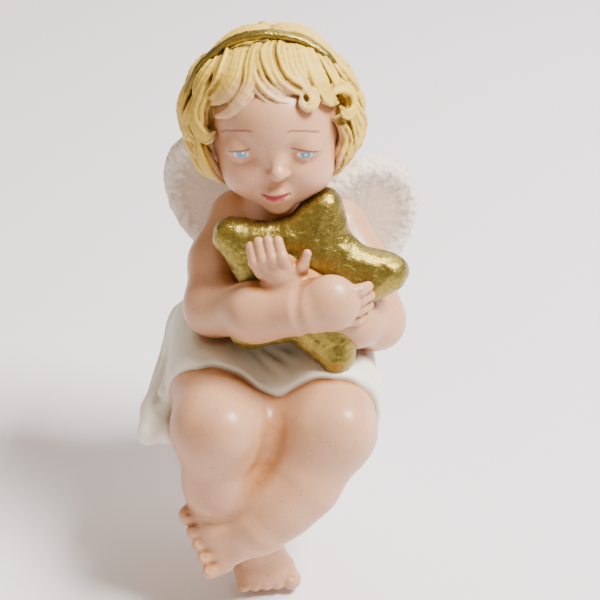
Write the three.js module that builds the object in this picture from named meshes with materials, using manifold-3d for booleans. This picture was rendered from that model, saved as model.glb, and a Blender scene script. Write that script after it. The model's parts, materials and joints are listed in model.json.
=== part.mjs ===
// A seated cherub in cast resin that hugs a puffy star, made to sit on the edge of a shelf with its
// crossed legs hanging in front. It is an assembly of castings that are pinned and glued together.
//
// Millimetres, +Z up. The figure faces -Y, so its left side is +X. The origin is the middle of the
// flat underside of the drape, which is the face that rests on the shelf.
import * as THREE from "three";
import { mergeVertices } from "three/addons/utils/BufferGeometryUtils.js";
import Module from "manifold-3d";

const wasm = await Module();
wasm.setup();

// Driving dimensions. Each can be changed by itself.
const HEAD = { width: 37, depth: 39, height: 38 };
const HAIR_THICKNESS = 4.8;
const SHOULDER_HEIGHT = 51.5; // above the seat
const SHOULDER_SPAN = 28; // between the shoulder joints
const CHEST_DEPTH = 28;
const UPPER_ARM_RADIUS = 9;
const WRIST_RADIUS = 5.4;
const FINGER_RADIUS = 1.75;
const DRAPE = { width: 68, depth: 50, height: 23 };
const THIGH_LENGTH = 44;
const THIGH_RADIUS = 14;
const KNEE_RADIUS = 13.2;
const SHIN_LENGTH = 42;
const ANKLE_RADIUS = 7;
const FOOT_LENGTH = 22;
const FOOT_WIDTH = 16;
const STAR_RADIUS = 27.5; // centre to the end of a point
const STAR_THICKNESS = 14;
const BAND = { width: 3.2, thickness: 2.6 };
const WING = { height: 44, width: 35, thickness: 6 };
const PEG_RADIUS = 1.5;
const PEG_LENGTH = 12;
const WING_PEG_LENGTH = 8;

// Clearances.
const GLUE_GAP = 0.3; // between two castings that are glued face to face
const PEG_CLEARANCE = 0.3; // round a dowel and past its ends

// How finely round shapes are divided.
const SIDES = 10;
const SMALL_SIDES = 6;
const CAP_STEPS = 3;

const UP = new THREE.Vector3(0, 1, 0);
const at = (x, y, z) => new THREE.Vector3(x, y, z);
const between = (a, b, share) => a.clone().lerp(b, share);

// ---------------------------------------------------------------- solids from three.js geometry

// A closed three.js geometry as a solid. Triangles that a pole has collapsed are left out.
function solid(geometry, matrix = new THREE.Matrix4()) {
  const bare = (geometry.index ? geometry.toNonIndexed() : geometry.clone()).applyMatrix4(matrix);
  bare.deleteAttribute("normal");
  bare.deleteAttribute("uv");
  const merged = mergeVertices(bare, 1e-4);
  const kept = [];
  const index = merged.index.array;
  for (let i = 0; i < index.length; i += 3) {
    const [a, b, c] = [index[i], index[i + 1], index[i + 2]];
    if (a !== b && b !== c && a !== c) kept.push(a, b, c);
  }
  return new wasm.Manifold(
    new wasm.Mesh({
      numProp: 3,
      vertProperties: new Float32Array(merged.attributes.position.array),
      triVerts: new Uint32Array(kept),
    })
  );
}

const joined = (solids) => solids.reduce((whole, piece) => whole.add(piece));

// An ellipsoid. radii is a vector; turn is an optional Euler angle.
function ball(centre, radii, grow = 0, turn = new THREE.Euler(), sides = SIDES + 2) {
  const size = radii.clone().addScalar(grow);
  const matrix = new THREE.Matrix4().compose(centre, new THREE.Quaternion().setFromEuler(turn), size);
  return solid(new THREE.SphereGeometry(1, sides, Math.round(sides * 0.6)), matrix);
}

// Two round ends of different radius, joined by the cone that touches both.
function segment(a, b, startRadius, endRadius, grow = 0, sides = SIDES) {
  const steps = sides > SMALL_SIDES ? CAP_STEPS : CAP_STEPS - 1;
  const length = a.distanceTo(b);
  const [r0, r1] = [startRadius + grow, endRadius + grow];
  const lean = Math.asin(THREE.MathUtils.clamp((r0 - r1) / length, -0.99, 0.99));
  const profile = [new THREE.Vector2(0, -r0)];
  for (let i = 1; i <= steps; i++) {
    const t = -Math.PI / 2 + ((lean + Math.PI / 2) * i) / steps;
    profile.push(new THREE.Vector2(r0 * Math.cos(t), r0 * Math.sin(t)));
  }
  for (let i = 0; i < steps; i++) {
    const t = lean + ((Math.PI / 2 - lean) * i) / steps;
    profile.push(new THREE.Vector2(r1 * Math.cos(t), length + r1 * Math.sin(t)));
  }
  profile.push(new THREE.Vector2(0, length + r1));
  const axis = b.clone().sub(a).normalize();
  const turn = new THREE.Quaternion().setFromUnitVectors(UP, axis);
  const matrix = new THREE.Matrix4().compose(a, turn, at(1, 1, 1));
  return solid(new THREE.LatheGeometry(profile, sides), matrix);
}

// A chain of segments through [point, radius] stations.
function limb(stations, grow = 0, sides = SIDES) {
  const links = [];
  for (let i = 1; i < stations.length; i++) {
    const [[a, ra], [b, rb]] = [stations[i - 1], stations[i]];
    links.push(segment(a, b, ra, rb, grow, sides));
  }
  return joined(links);
}

function cylinder(centre, axis, radius, length) {
  const turn = new THREE.Quaternion().setFromUnitVectors(UP, axis.clone().normalize());
  const matrix = new THREE.Matrix4().compose(centre, turn, at(1, 1, 1));
  return solid(new THREE.CylinderGeometry(radius, radius, length, 16), matrix);
}

// Everything on the far side of a plane from the origin of direction, as a large block.
const BLOCK = 300;
function halfSpace(point, direction) {
  const out = direction.clone().normalize();
  const turn = new THREE.Quaternion().setFromUnitVectors(UP, out);
  const centre = point.clone().addScaledVector(out, BLOCK / 2);
  const matrix = new THREE.Matrix4().compose(centre, turn, at(1, 1, 1));
  return solid(new THREE.BoxGeometry(BLOCK, BLOCK, BLOCK), matrix);
}

// ---------------------------------------------------------------- landmarks of the body

const SHOULDER_MIDDLE = at(5.5, -4, SHOULDER_HEIGHT);
const RIGHT_SHOULDER = SHOULDER_MIDDLE.clone().add(at(-SHOULDER_SPAN / 2, 0, 1.5));
const LEFT_SHOULDER = SHOULDER_MIDDLE.clone().add(at(SHOULDER_SPAN / 2, 0, -1.5));
const NECK = SHOULDER_MIDDLE.clone().add(at(-2.5, -1, 7));
const HEAD_CENTRE = NECK.clone().add(at(-1.2, -4, HEAD.height / 2 + 5.8));
const THIGH_HEIGHT = THIGH_RADIUS + 1.2;

// ---------------------------------------------------------------- head, hair and headband

const HEAD_RADII = at(HEAD.width / 2, HEAD.depth / 2, HEAD.height / 2);

function headShape(grow = 0) {
  const cheek = HEAD_RADII.x * 0.55;
  const cheekPlace = at(HEAD_RADII.x * 0.37, -HEAD_RADII.y * 0.37, -HEAD_RADII.z * 0.42);
  const chin = HEAD_CENTRE.clone().add(at(0, -HEAD_RADII.y * 0.56, -HEAD_RADII.z * 0.68));
  const noseTip = HEAD_CENTRE.clone().add(at(0, -HEAD_RADII.y * 0.99, -HEAD_RADII.z * 0.27));
  const noseTop = HEAD_CENTRE.clone().add(at(0, -HEAD_RADII.y * 0.9, 0));
  return joined([
    ball(HEAD_CENTRE, HEAD_RADII, grow),
    ball(HEAD_CENTRE.clone().add(cheekPlace), at(cheek, cheek, cheek), grow),
    ball(HEAD_CENTRE.clone().add(cheekPlace.clone().multiply(at(-1, 1, 1))), at(cheek, cheek, cheek), grow),
    ball(chin, at(7.5, 6, 5.2), grow),
    segment(noseTop, noseTip, 1.4, 2.2, grow, SMALL_SIDES),
  ]);
}

const HAIR_RADII = HEAD_RADII.clone().add(at(HAIR_THICKNESS, HAIR_THICKNESS, HAIR_THICKNESS));
const HAIR_CENTRE = HEAD_CENTRE.clone().add(at(-0.6, 4, 1.4));

function hairShape(grow = 0) {
  const sideLock = at(HEAD_RADII.x + HAIR_THICKNESS * 0.45, -HEAD_RADII.y * 0.12, -HEAD_RADII.z * 0.5);
  const lockRadii = at(HAIR_THICKNESS * 0.85, HEAD_RADII.y * 0.42, HEAD_RADII.z * 0.48);
  const crown = joined([
    ball(HAIR_CENTRE, HAIR_RADII, grow, new THREE.Euler(), SIDES + 8),
    ball(HAIR_CENTRE.clone().add(sideLock), lockRadii, grow),
    ball(HAIR_CENTRE.clone().add(sideLock.clone().multiply(at(-1, 1, 1))), lockRadii, grow),
  ]);
  // The face stays open: below the fringe and between the side locks.
  const faceRadii = at(HEAD_RADII.x * 0.97, HEAD_RADII.y, HEAD_RADII.z * 1.1);
  const face = ball(
    HEAD_CENTRE.clone().add(at(0, -HEAD_RADII.y * 1.05, -HEAD_RADII.z * 0.22)), faceRadii, -grow
  );
  const nape = HEAD_CENTRE.clone().add(at(0, 0, -HEAD_RADII.z * 0.94 - grow));
  const throat = HEAD_CENTRE.clone().add(at(0, -HEAD_RADII.y * 0.4, -HEAD_RADII.z * 0.35));
  return crown
    .subtract(halfSpace(nape, at(0, 0, -1)))
    .subtract(halfSpace(throat, at(0, -0.75, -0.66)).intersect(face.add(ball(throat, faceRadii))))
    .subtract(face);
}

const BAND_CENTRE = HEAD_CENTRE.clone().add(at(-1.4, 1.5, 3.2));
const BAND_RADIUS = HAIR_RADII.x - BAND.thickness * 0.2;
const BAND_ENDS = THREE.MathUtils.degToRad(28); // below the horizontal on each side

// An arc over the top of the head, from behind one ear to behind the other.
function bandShape(grow = 0) {
  const section = new THREE.Shape();
  section.absellipse(0, 0, BAND.thickness / 2 + grow, BAND.width / 2 + grow, 0, Math.PI * 2);
  const arc = [];
  const steps = 30;
  for (let i = 0; i <= steps; i++) {
    const past = BAND_ENDS + grow / BAND_RADIUS;
    const t = ((Math.PI + 2 * past) * i) / steps - past;
    arc.push(at(BAND_RADIUS * Math.cos(t), 0, BAND_RADIUS * Math.sin(t)));
  }
  const path = new THREE.CatmullRomCurve3(arc);
  const bar = new THREE.ExtrudeGeometry(section, { steps: 32, curveSegments: 3, extrudePath: path });
  const lean = new THREE.Quaternion().setFromEuler(new THREE.Euler(0.02, 0, 0));
  return solid(bar, new THREE.Matrix4().compose(BAND_CENTRE, lean, at(1, 1, 1)));
}

// ---------------------------------------------------------------- torso

const PELVIS = at(0.5, 2, 20);
const CHEST = between(PELVIS, SHOULDER_MIDDLE, 0.66).add(at(0, -5.5, 0));
const BACK = CHEST.y + CHEST_DEPTH / 2;

function torsoShape(grow = 0) {
  const half = CHEST_DEPTH / 2;
  const belly = between(PELVIS, SHOULDER_MIDDLE, 0.28);
  const ribs = SHOULDER_SPAN / 2;
  return joined([
    limb([[RIGHT_SHOULDER, UPPER_ARM_RADIUS], [LEFT_SHOULDER, UPPER_ARM_RADIUS]], grow),
    ball(CHEST, at(ribs + 4, half, 17), grow),
    ball(belly.clone().add(at(0, -3, 0)), at(ribs + 3.5, half + 1.5, 15), grow),
    segment(SHOULDER_MIDDLE, NECK, 10, 8, grow),
    segment(NECK, between(NECK, HEAD_CENTRE, 0.35), 8, 7.4, grow),
  ]);
}

// ---------------------------------------------------------------- arms and hands

// The arms hang from the shoulders, so their joints are measured from between the shoulders.
const hung = (x, y, z) => SHOULDER_MIDDLE.clone().add(at(x, y, z));
const RIGHT_ELBOW = hung(-20, -20, -13.9);
const RIGHT_FOREARM = hung(-8.5, -32.5, -7.9);
const RIGHT_WRIST = hung(4, -38, -3.9);
const RIGHT_HAND = hung(11.5, -38.4, -1.5);
const RIGHT_HAND_RADII = at(7.4, 6, 7.8);
const LEFT_ELBOW = hung(23.8, -16, -21.1);
const LEFT_FOREARM = hung(16.5, -26, -14.1);
const LEFT_WRIST = hung(3.5, -32, -2.1);
const LEFT_HAND = hung(-1.9, -32, 3.9);
const LEFT_HAND_RADII = at(6, 4.2, 5.6);

// Four fingers side by side. Each runs from its knuckle through the bend to the tip.
function fingers(knuckle, across, reach, curl, lengths, grow) {
  return lengths.map((length, i) => {
    const root = knuckle.clone().addScaledVector(across, i - (lengths.length - 1) / 2);
    const bend = root.clone().addScaledVector(reach, length * 0.55);
    const tip = bend.clone().addScaledVector(reach, length * 0.4).addScaledVector(curl, length * 0.3);
    const radius = FINGER_RADIUS * (i === lengths.length - 1 ? 0.88 : 1);
    return limb([[root, radius], [bend, radius * 0.97], [tip, radius * 0.86]], grow, SMALL_SIDES);
  });
}

function rightArmShape(grow = 0) {
  return joined([
    limb(
      [
        [RIGHT_SHOULDER, UPPER_ARM_RADIUS],
        [between(RIGHT_SHOULDER, RIGHT_ELBOW, 0.5).add(at(-1.2, 0, 0)), UPPER_ARM_RADIUS - 0.2],
        [RIGHT_ELBOW, UPPER_ARM_RADIUS - 1],
        [RIGHT_FOREARM, (UPPER_ARM_RADIUS + WRIST_RADIUS) / 2 + 0.2],
        [RIGHT_WRIST, WRIST_RADIUS],
      ],
      grow
    ),
    segment(RIGHT_WRIST, RIGHT_HAND, WRIST_RADIUS, 6, grow),
    ball(RIGHT_HAND, RIGHT_HAND_RADII, grow),
    ...fingers(
      RIGHT_HAND.clone().add(at(4.6, 0.6, -0.6)),
      at(0.15, 0.6, -3.15), at(0.8, 0.58, 0.05), at(0, 1, 0), [5.8, 6.4, 6.2, 5], grow
    ),
  ]);
}

function leftArmShape(grow = 0) {
  const thumbRoot = LEFT_HAND.clone().add(at(3.4, -0.6, -1.6));
  const thumbBend = thumbRoot.clone().add(at(2.2, -0.6, 4));
  const thumbTip = thumbRoot.clone().add(at(2.9, -0.4, 7));
  return joined([
    limb(
      [
        [LEFT_SHOULDER, UPPER_ARM_RADIUS],
        [between(LEFT_SHOULDER, LEFT_ELBOW, 0.5).add(at(1.2, 0, 0)), UPPER_ARM_RADIUS - 0.2],
        [LEFT_ELBOW, UPPER_ARM_RADIUS - 1],
        [LEFT_FOREARM, (UPPER_ARM_RADIUS + WRIST_RADIUS) / 2 + 0.2],
        [LEFT_WRIST, WRIST_RADIUS],
      ],
      grow
    ),
    segment(LEFT_WRIST, LEFT_HAND, WRIST_RADIUS, 5, grow),
    ball(LEFT_HAND, LEFT_HAND_RADII, grow),
    ...fingers(
      LEFT_HAND.clone().add(at(-2.2, -0.8, 2.4)),
      at(-2.35, 0.2, -0.75), at(-0.42, -0.12, 0.9), at(0.1, 0.9, 0.2), [7.4, 7.6, 7.2, 6], grow
    ),
    limb([[thumbRoot, 2.1], [thumbBend, 1.8], [thumbTip, 1.4]], grow, SMALL_SIDES),
  ]);
}

// ---------------------------------------------------------------- star

const STAR_CENTRE = hung(4.3, -25.5, -3.5); // between the hands and under the chin
const STAR_LEAN = THREE.MathUtils.degToRad(20); // the top leans back against the chin
const STAR_TURN = THREE.MathUtils.degToRad(-14); // the top point leans to the figure's left
const STAR_WAIST = 12.6; // radius of the body at the middle, seen from the front
const STAR_TIP = 6.2; // radius of the end of a point, seen from the front
// Each point's length against the longest, from the top one round towards the figure's right hand.
const STAR_REACH = [0.86, 1, 0.92, 0.92, 1];

function starShape(grow = 0) {
  const frame = new THREE.Matrix4().makeTranslation(...STAR_CENTRE)
    .multiply(new THREE.Matrix4().makeRotationX(-STAR_LEAN))
    .multiply(new THREE.Matrix4().makeRotationY(-STAR_TURN));
  // Round points are made in the plane of the star, then pressed to its thickness.
  const press = new THREE.Matrix4().makeScale(1, STAR_THICKNESS / (2 * STAR_WAIST), 1);
  const pressed = frame.clone().multiply(press);
  const points = STAR_REACH.map((share, i) => {
    const angle = Math.PI / 2 + (i * 2 * Math.PI) / STAR_REACH.length;
    const reach = STAR_RADIUS * share - STAR_TIP;
    const tip = at(reach * Math.cos(angle), 0, reach * Math.sin(angle));
    return segment(at(0, 0, 0), tip, STAR_WAIST, STAR_TIP, grow, SIDES + 2);
  });
  return joined(points).transform(pressed.elements);
}

// ---------------------------------------------------------------- legs and feet

const RIGHT_HIP = at(-13.5, -4, THIGH_HEIGHT);
const RIGHT_KNEE = at(-13.2, RIGHT_HIP.y - THIGH_LENGTH + 2, THIGH_HEIGHT - 2.4);
const RIGHT_CALF = RIGHT_KNEE.clone().add(at(1.2, -1, -SHIN_LENGTH * 0.42));
const RIGHT_ANKLE = RIGHT_KNEE.clone().add(at(9.5, 3, -SHIN_LENGTH * 0.95));
const LEFT_HIP = at(14, -4, THIGH_HEIGHT);
const LEFT_KNEE = at(16.6, LEFT_HIP.y - THIGH_LENGTH + 2.5, THIGH_HEIGHT - 3.2);
const LEFT_CALF = LEFT_KNEE.clone().add(at(-7.2, -5.5, -SHIN_LENGTH * 0.32));
const LEFT_ANKLE = LEFT_KNEE.clone().add(at(-18.6, -11.5, -SHIN_LENGTH * 0.58));

// A foot on axes of its own: forward to the toes, up through the instep, and across to the big toe.
function foot(ankle, forward, instep, bigToeSide, grow) {
  const up = instep.clone().addScaledVector(forward, -instep.dot(forward)).normalize();
  const inner = new THREE.Vector3().crossVectors(forward, up).multiplyScalar(bigToeSide);
  const on = (f, u, s) =>
    ankle.clone().addScaledVector(forward, f).addScaledVector(up, u).addScaledVector(inner, s);
  const reach = FOOT_LENGTH * 0.5;
  const half = FOOT_WIDTH / 2;
  const pieces = [
    segment(ankle, on(-FOOT_LENGTH * 0.07, -ANKLE_RADIUS * 0.8, 0), ANKLE_RADIUS, 6, grow),
    segment(ankle, on(reach * 0.8, -ANKLE_RADIUS * 0.75, half * 0.12), ANKLE_RADIUS, 5, grow),
    segment(on(0, -4.5, 0), on(reach, -ANKLE_RADIUS * 0.85, half * 0.36), 5.5, 4.4, grow),
    segment(on(0, -4.5, 0), on(reach * 0.8, -ANKLE_RADIUS * 0.95, -half * 0.42), 5.5, 4, grow),
  ];
  const toes = [2.8, 2.1, 2, 1.9, 1.8];
  const step = (FOOT_WIDTH - toes[0] - toes[4]) / (toes.length - 1);
  toes.forEach((radius, i) => {
    const side = half - toes[0] - step * i + 0.8;
    const root = on(reach - i * 0.5, -ANKLE_RADIUS * 0.85, side * 0.9);
    const tip = on(FOOT_LENGTH * 0.72 - i * 0.95, -ANKLE_RADIUS * 0.85 - 0.4, side);
    pieces.push(segment(root, tip, radius, radius, grow, SMALL_SIDES));
  });
  return pieces;
}

function rightLegShape(grow = 0) {
  return joined([
    limb(
      [
        [RIGHT_HIP, THIGH_RADIUS],
        [RIGHT_KNEE, KNEE_RADIUS],
        [RIGHT_CALF, KNEE_RADIUS - 1.8],
        [RIGHT_ANKLE, ANKLE_RADIUS],
      ],
      grow
    ),
    ...foot(RIGHT_ANKLE, at(0.38, -0.72, -0.58).normalize(), at(0.1, -0.5, 0.8), -1, grow),
  ]);
}

function leftLegShape(grow = 0) {
  return joined([
    limb(
      [
        [LEFT_HIP, THIGH_RADIUS],
        [LEFT_KNEE, KNEE_RADIUS],
        [LEFT_CALF, KNEE_RADIUS - 1.4],
        [LEFT_ANKLE, ANKLE_RADIUS],
      ],
      grow
    ),
    ...foot(LEFT_ANKLE, at(-0.97, -0.22, -0.02).normalize(), at(-0.1, -0.72, 0.68), 1, grow),
  ]);
}

// ---------------------------------------------------------------- drape

const WAISTBAND = at(0.5, 1, 17);

function drapeShape(grow = 0) {
  const cover = THIGH_RADIUS + 1.4;
  const hem = (hip, knee) => between(hip, knee, 0.66);
  const cloth = joined([
    ball(at(-0.5, 0, 3.6), at(DRAPE.width / 2, DRAPE.depth / 2, DRAPE.height * 0.8), grow),
    ball(WAISTBAND, at(20.5, 17, 13), grow),
    segment(RIGHT_HIP, hem(RIGHT_HIP, RIGHT_KNEE), cover, cover, grow),
    segment(LEFT_HIP, hem(LEFT_HIP, LEFT_KNEE), cover, cover, grow),
    segment(at(-26, -4, 7), at(-28.5, -26, 5), 8, 7, grow),
    segment(at(26, -4, 7), at(27, -24, 5), 7, 5, grow),
  ]);
  // The front hem slants: it reaches further forward over the left thigh.
  const hemLine = at(0, -33.5, THIGH_HEIGHT + 6);
  const trimmed = cloth.subtract(halfSpace(hemLine, at(-0.22, -1, -0.3)));
  const dip = ball(at(3, -33.5, THIGH_HEIGHT + 5.2), at(15, 8.5, 8), grow);
  const tail = ball(at(-31.5, -27, 5.5), at(5, 8, 8.5), grow);
  return joined([trimmed, dip, tail]).subtract(halfSpace(at(0, 0, 0), at(0, 0, -1)));
}

// ---------------------------------------------------------------- wings

const RIGHT_WING_ROOT = at(1, BACK - 0.6, SHOULDER_HEIGHT + 3); // set higher than the left one
const LEFT_WING_ROOT = at(10, BACK, SHOULDER_HEIGHT - 8.5);

// A small rounded wing in the XZ plane. It grows from its root at the origin towards +X, with a
// round shoulder on top and a narrower lower end.
function wingSolid(grow) {
  const { height, width, thickness } = WING;
  const outline = new THREE.Shape();
  outline.moveTo(-2, -height * 0.1);
  outline.quadraticCurveTo(width * 0.02, height * 0.22, width * 0.3, height * 0.36);
  outline.quadraticCurveTo(width * 0.62, height * 0.5, width * 0.88, height * 0.32);
  outline.quadraticCurveTo(width * 1.08, height * 0.14, width, -height * 0.12);
  outline.quadraticCurveTo(width * 0.9, -height * 0.36, width * 0.62, -height * 0.5);
  outline.quadraticCurveTo(width * 0.3, -height * 0.5, width * 0.16, -height * 0.36);
  outline.quadraticCurveTo(-2, -height * 0.26, -2, -height * 0.1);
  const bevel = thickness * 0.32;
  const slab = new THREE.ExtrudeGeometry(outline, {
    depth: thickness - 2 * bevel + 2 * grow,
    curveSegments: 7,
    bevelThickness: bevel,
    bevelSize: bevel + grow,
    bevelOffset: -bevel,
    bevelSegments: 2,
  });
  slab.translate(0, 0, -(thickness - 2 * bevel + 2 * grow) / 2);
  return slab.rotateX(Math.PI / 2);
}

function wingShape(root, side, spread, tilt, grow = 0) {
  const turn = new THREE.Quaternion().setFromEuler(new THREE.Euler(0, tilt * -side, spread * side, "ZXY"));
  const slab = wingSolid(grow);
  if (side < 0) slab.rotateZ(Math.PI);
  return solid(slab, new THREE.Matrix4().compose(root, turn, at(1, 1, 1)));
}

const rightWingShape = (grow) => wingShape(RIGHT_WING_ROOT, -1, 0.5, -0.16, grow);
const leftWingShape = (grow) => wingShape(LEFT_WING_ROOT, 1, 0.42, 0.08, grow);

// ---------------------------------------------------------------- dowels

const HIP_PEG = at(0, THIGH_RADIUS - 1, -THIGH_RADIUS * 0.44);

// Each dowel crosses one glued joint, part of it in each casting: its middle, axis and length.
const PEGS = {
  neck_peg: [NECK.clone().add(at(-0.4, -1.2, 4)), HEAD_CENTRE.clone().sub(NECK), PEG_LENGTH],
  waist_peg: [at(1.4, 7, 14), at(0, 0, 1), PEG_LENGTH],
  right_shoulder_peg: [RIGHT_SHOULDER.clone().add(at(UPPER_ARM_RADIUS, 0, 0)), at(1, 0, 0), PEG_LENGTH],
  left_shoulder_peg: [LEFT_SHOULDER.clone().add(at(-UPPER_ARM_RADIUS, 0, 0)), at(1, 0, 0), PEG_LENGTH],
  right_hip_peg: [RIGHT_HIP.clone().add(HIP_PEG), at(0, 1, 0), PEG_LENGTH],
  left_hip_peg: [LEFT_HIP.clone().add(HIP_PEG), at(0, 1, 0), PEG_LENGTH],
  right_wing_peg: [RIGHT_WING_ROOT.clone().add(at(-0.2, -0.8, 0)), at(-0.6, 0.8, 0), WING_PEG_LENGTH],
  left_wing_peg: [LEFT_WING_ROOT.clone().add(at(0.2, -0.8, 0)), at(0.6, 0.8, 0), WING_PEG_LENGTH],
  star_peg: [at(7, CHEST.y - CHEST_DEPTH / 2 - 1, STAR_CENTRE.z - 4), at(0, 1, 0), WING_PEG_LENGTH],
};

function dowel(name, clearance) {
  const [middle, axis, length] = PEGS[name];
  return cylinder(middle, axis, PEG_RADIUS + clearance, length + 2 * clearance);
}

const peg = (name) => dowel(name, 0);
const socket = (name) => dowel(name, PEG_CLEARANCE);

// ---------------------------------------------------------------- castings

// A shape less its neighbours. Two round surfaces that nearly coincide can leave a loose flake
// between them, which is no part of the casting: the casting is the largest body that is left.
function less(shape, ...cutters) {
  const left = cutters.reduce((rest, cutter) => rest.subtract(cutter), shape);
  return left.decompose().reduce((most, body) => (body.volume() > most.volume() ? body : most));
}

const head = less(headShape(), socket("neck_peg"));
const headband = less(bandShape(), headShape(GLUE_GAP));
const rightArm = less(rightArmShape(), socket("right_shoulder_peg"));
const leftArm = less(leftArmShape(), rightArmShape(GLUE_GAP), socket("left_shoulder_peg"));
const star = less(
  starShape(), rightArmShape(GLUE_GAP), leftArmShape(GLUE_GAP), headShape(GLUE_GAP), socket("star_peg")
);
const torso = less(
  torsoShape(), headShape(GLUE_GAP), rightArmShape(GLUE_GAP), leftArmShape(GLUE_GAP), starShape(GLUE_GAP),
  rightLegShape(GLUE_GAP), leftLegShape(GLUE_GAP),
  ...["neck_peg", "waist_peg", "right_shoulder_peg", "left_shoulder_peg", "right_wing_peg", "left_wing_peg",
    "star_peg"].map(socket)
);
const hair = less(
  hairShape(), headShape(GLUE_GAP), bandShape(GLUE_GAP), torsoShape(GLUE_GAP), starShape(GLUE_GAP)
);
const leftLeg = less(leftLegShape(), leftArmShape(GLUE_GAP), starShape(GLUE_GAP), socket("left_hip_peg"));
const rightLeg = less(
  rightLegShape(), leftLegShape(GLUE_GAP), rightArmShape(GLUE_GAP), starShape(GLUE_GAP),
  socket("right_hip_peg")
);
const drape = less(
  drapeShape(), torsoShape(GLUE_GAP), rightLegShape(GLUE_GAP), leftLegShape(GLUE_GAP), starShape(GLUE_GAP),
  rightArmShape(GLUE_GAP), leftArmShape(GLUE_GAP),
  ...["waist_peg", "right_hip_peg", "left_hip_peg"].map(socket)
);
const rightWing = less(
  rightWingShape(0), torsoShape(GLUE_GAP), rightArmShape(GLUE_GAP), hairShape(GLUE_GAP),
  socket("right_wing_peg")
);
const leftWing = less(
  leftWingShape(0), torsoShape(GLUE_GAP), leftArmShape(GLUE_GAP), hairShape(GLUE_GAP),
  rightWingShape(GLUE_GAP), socket("left_wing_peg")
);

// ---------------------------------------------------------------- finishes and the assembly

const finish = (color, roughness, metalness = 0) =>
  new THREE.MeshStandardMaterial({ color, roughness, metalness });

const SKIN = finish(0xe9c4ad, 0.5);
const HAIR_PAINT = finish(0xe8d08a, 0.6);
const GOLD = finish(0xa8913c, 0.35, 0.8);
const CLOTH = finish(0xe6e3d6, 0.7);
const FEATHER = finish(0xe3ded2, 0.85);
const STEEL = finish(0x9a9c9e, 0.35, 0.9);

const figurine = new THREE.Group();

function place(name, shape, material) {
  const made = shape.getMesh();
  const geometry = new THREE.BufferGeometry();
  geometry.setAttribute("position", new THREE.BufferAttribute(made.vertProperties, 3));
  geometry.setIndex(new THREE.BufferAttribute(made.triVerts, 1));
  geometry.computeVertexNormals();
  const mesh = new THREE.Mesh(geometry, material);
  mesh.name = name;
  figurine.add(mesh);
}

place("head", head, SKIN);
place("hair", hair, HAIR_PAINT);
place("headband", headband, GOLD);
place("torso", torso, SKIN);
place("right_arm", rightArm, SKIN);
place("left_arm", leftArm, SKIN);
place("star", star, GOLD);
place("drape", drape, CLOTH);
place("right_leg", rightLeg, SKIN);
place("left_leg", leftLeg, SKIN);
place("right_wing", rightWing, FEATHER);
place("left_wing", leftWing, FEATHER);
for (const name of Object.keys(PEGS)) place(name, peg(name), STEEL);

export default figurine;
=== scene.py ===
# %% [markdown]
# # A seated resin cherub with a gold star
#
# The real object is a hand-painted ornament of cast polyresin, which is polyester resin filled with
# stone powder. A sculptor makes the model in clay, so every form is soft and every corner is filled.
# This lesson copies that way of working. Each form is laid down with plain balls and tapered bars, a
# Remesh modifier fuses them to one skin, and then each point is pressed onto a smooth clay surface.
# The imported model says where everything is, and nothing here moves or resizes it.

import math

import bmesh
import bpy
import json
import numpy as np
from mathutils import Euler, Matrix, Vector, noise

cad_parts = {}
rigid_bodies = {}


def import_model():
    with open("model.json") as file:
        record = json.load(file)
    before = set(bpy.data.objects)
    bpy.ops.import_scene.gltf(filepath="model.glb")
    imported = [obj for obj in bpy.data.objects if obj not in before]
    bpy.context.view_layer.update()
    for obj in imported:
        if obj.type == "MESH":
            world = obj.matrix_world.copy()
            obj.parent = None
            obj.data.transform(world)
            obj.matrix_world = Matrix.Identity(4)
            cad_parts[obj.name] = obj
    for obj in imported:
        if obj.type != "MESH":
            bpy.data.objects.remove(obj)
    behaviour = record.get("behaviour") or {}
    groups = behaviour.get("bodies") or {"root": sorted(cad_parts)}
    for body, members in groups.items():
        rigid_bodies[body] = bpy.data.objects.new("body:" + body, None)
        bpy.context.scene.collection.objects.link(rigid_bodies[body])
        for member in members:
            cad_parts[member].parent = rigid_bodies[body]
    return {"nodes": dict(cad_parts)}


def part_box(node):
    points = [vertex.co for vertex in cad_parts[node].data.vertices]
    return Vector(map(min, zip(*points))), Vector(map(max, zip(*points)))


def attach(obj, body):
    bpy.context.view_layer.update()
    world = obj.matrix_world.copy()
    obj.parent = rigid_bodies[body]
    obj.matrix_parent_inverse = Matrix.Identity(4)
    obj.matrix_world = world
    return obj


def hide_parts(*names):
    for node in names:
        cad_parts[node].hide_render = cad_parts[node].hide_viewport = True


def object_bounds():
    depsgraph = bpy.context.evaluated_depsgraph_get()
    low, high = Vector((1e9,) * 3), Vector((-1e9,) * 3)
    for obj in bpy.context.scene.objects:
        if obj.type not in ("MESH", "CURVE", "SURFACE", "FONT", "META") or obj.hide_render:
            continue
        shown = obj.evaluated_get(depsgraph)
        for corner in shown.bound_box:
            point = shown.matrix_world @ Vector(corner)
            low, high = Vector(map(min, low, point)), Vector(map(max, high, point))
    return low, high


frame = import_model()
BOX_AT_LOAD = [list(corner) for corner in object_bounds()]
MM = 0.001
print("the model's box in mm:", [[round(v / MM, 1) for v in corner] for corner in BOX_AT_LOAD])

# %% [markdown]
# The main places are given as shares of a imported piece's box, so they stay right if the model is changed,
# and the rest in mm from them or from the origin.
# Shapes are worked out in millimetres, because every size of a figurine is thought of in millimetres,
# and turned to metres at the moment that a mesh is made.


# %% Places on the imported pieces
def spot(node, x, y, z):
    """A point in mm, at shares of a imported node's box."""
    low, high = (np.array(corner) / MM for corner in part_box(node))
    return low + (high - low) * np.array([x, y, z])


def unit(vector):
    return np.asarray(vector, float) / np.linalg.norm(vector)


def between(a, b, share):
    return a + (b - a) * share


# %% [markdown]
# The camera comes first. It looks down at the figure by about 32 degrees, as you look at an ornament
# on a shelf, through a lens of portrait length. It stands less than half a metre away, and the slight
# enlarging of the knees that this gives is a part of how such an object is seen.

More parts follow.
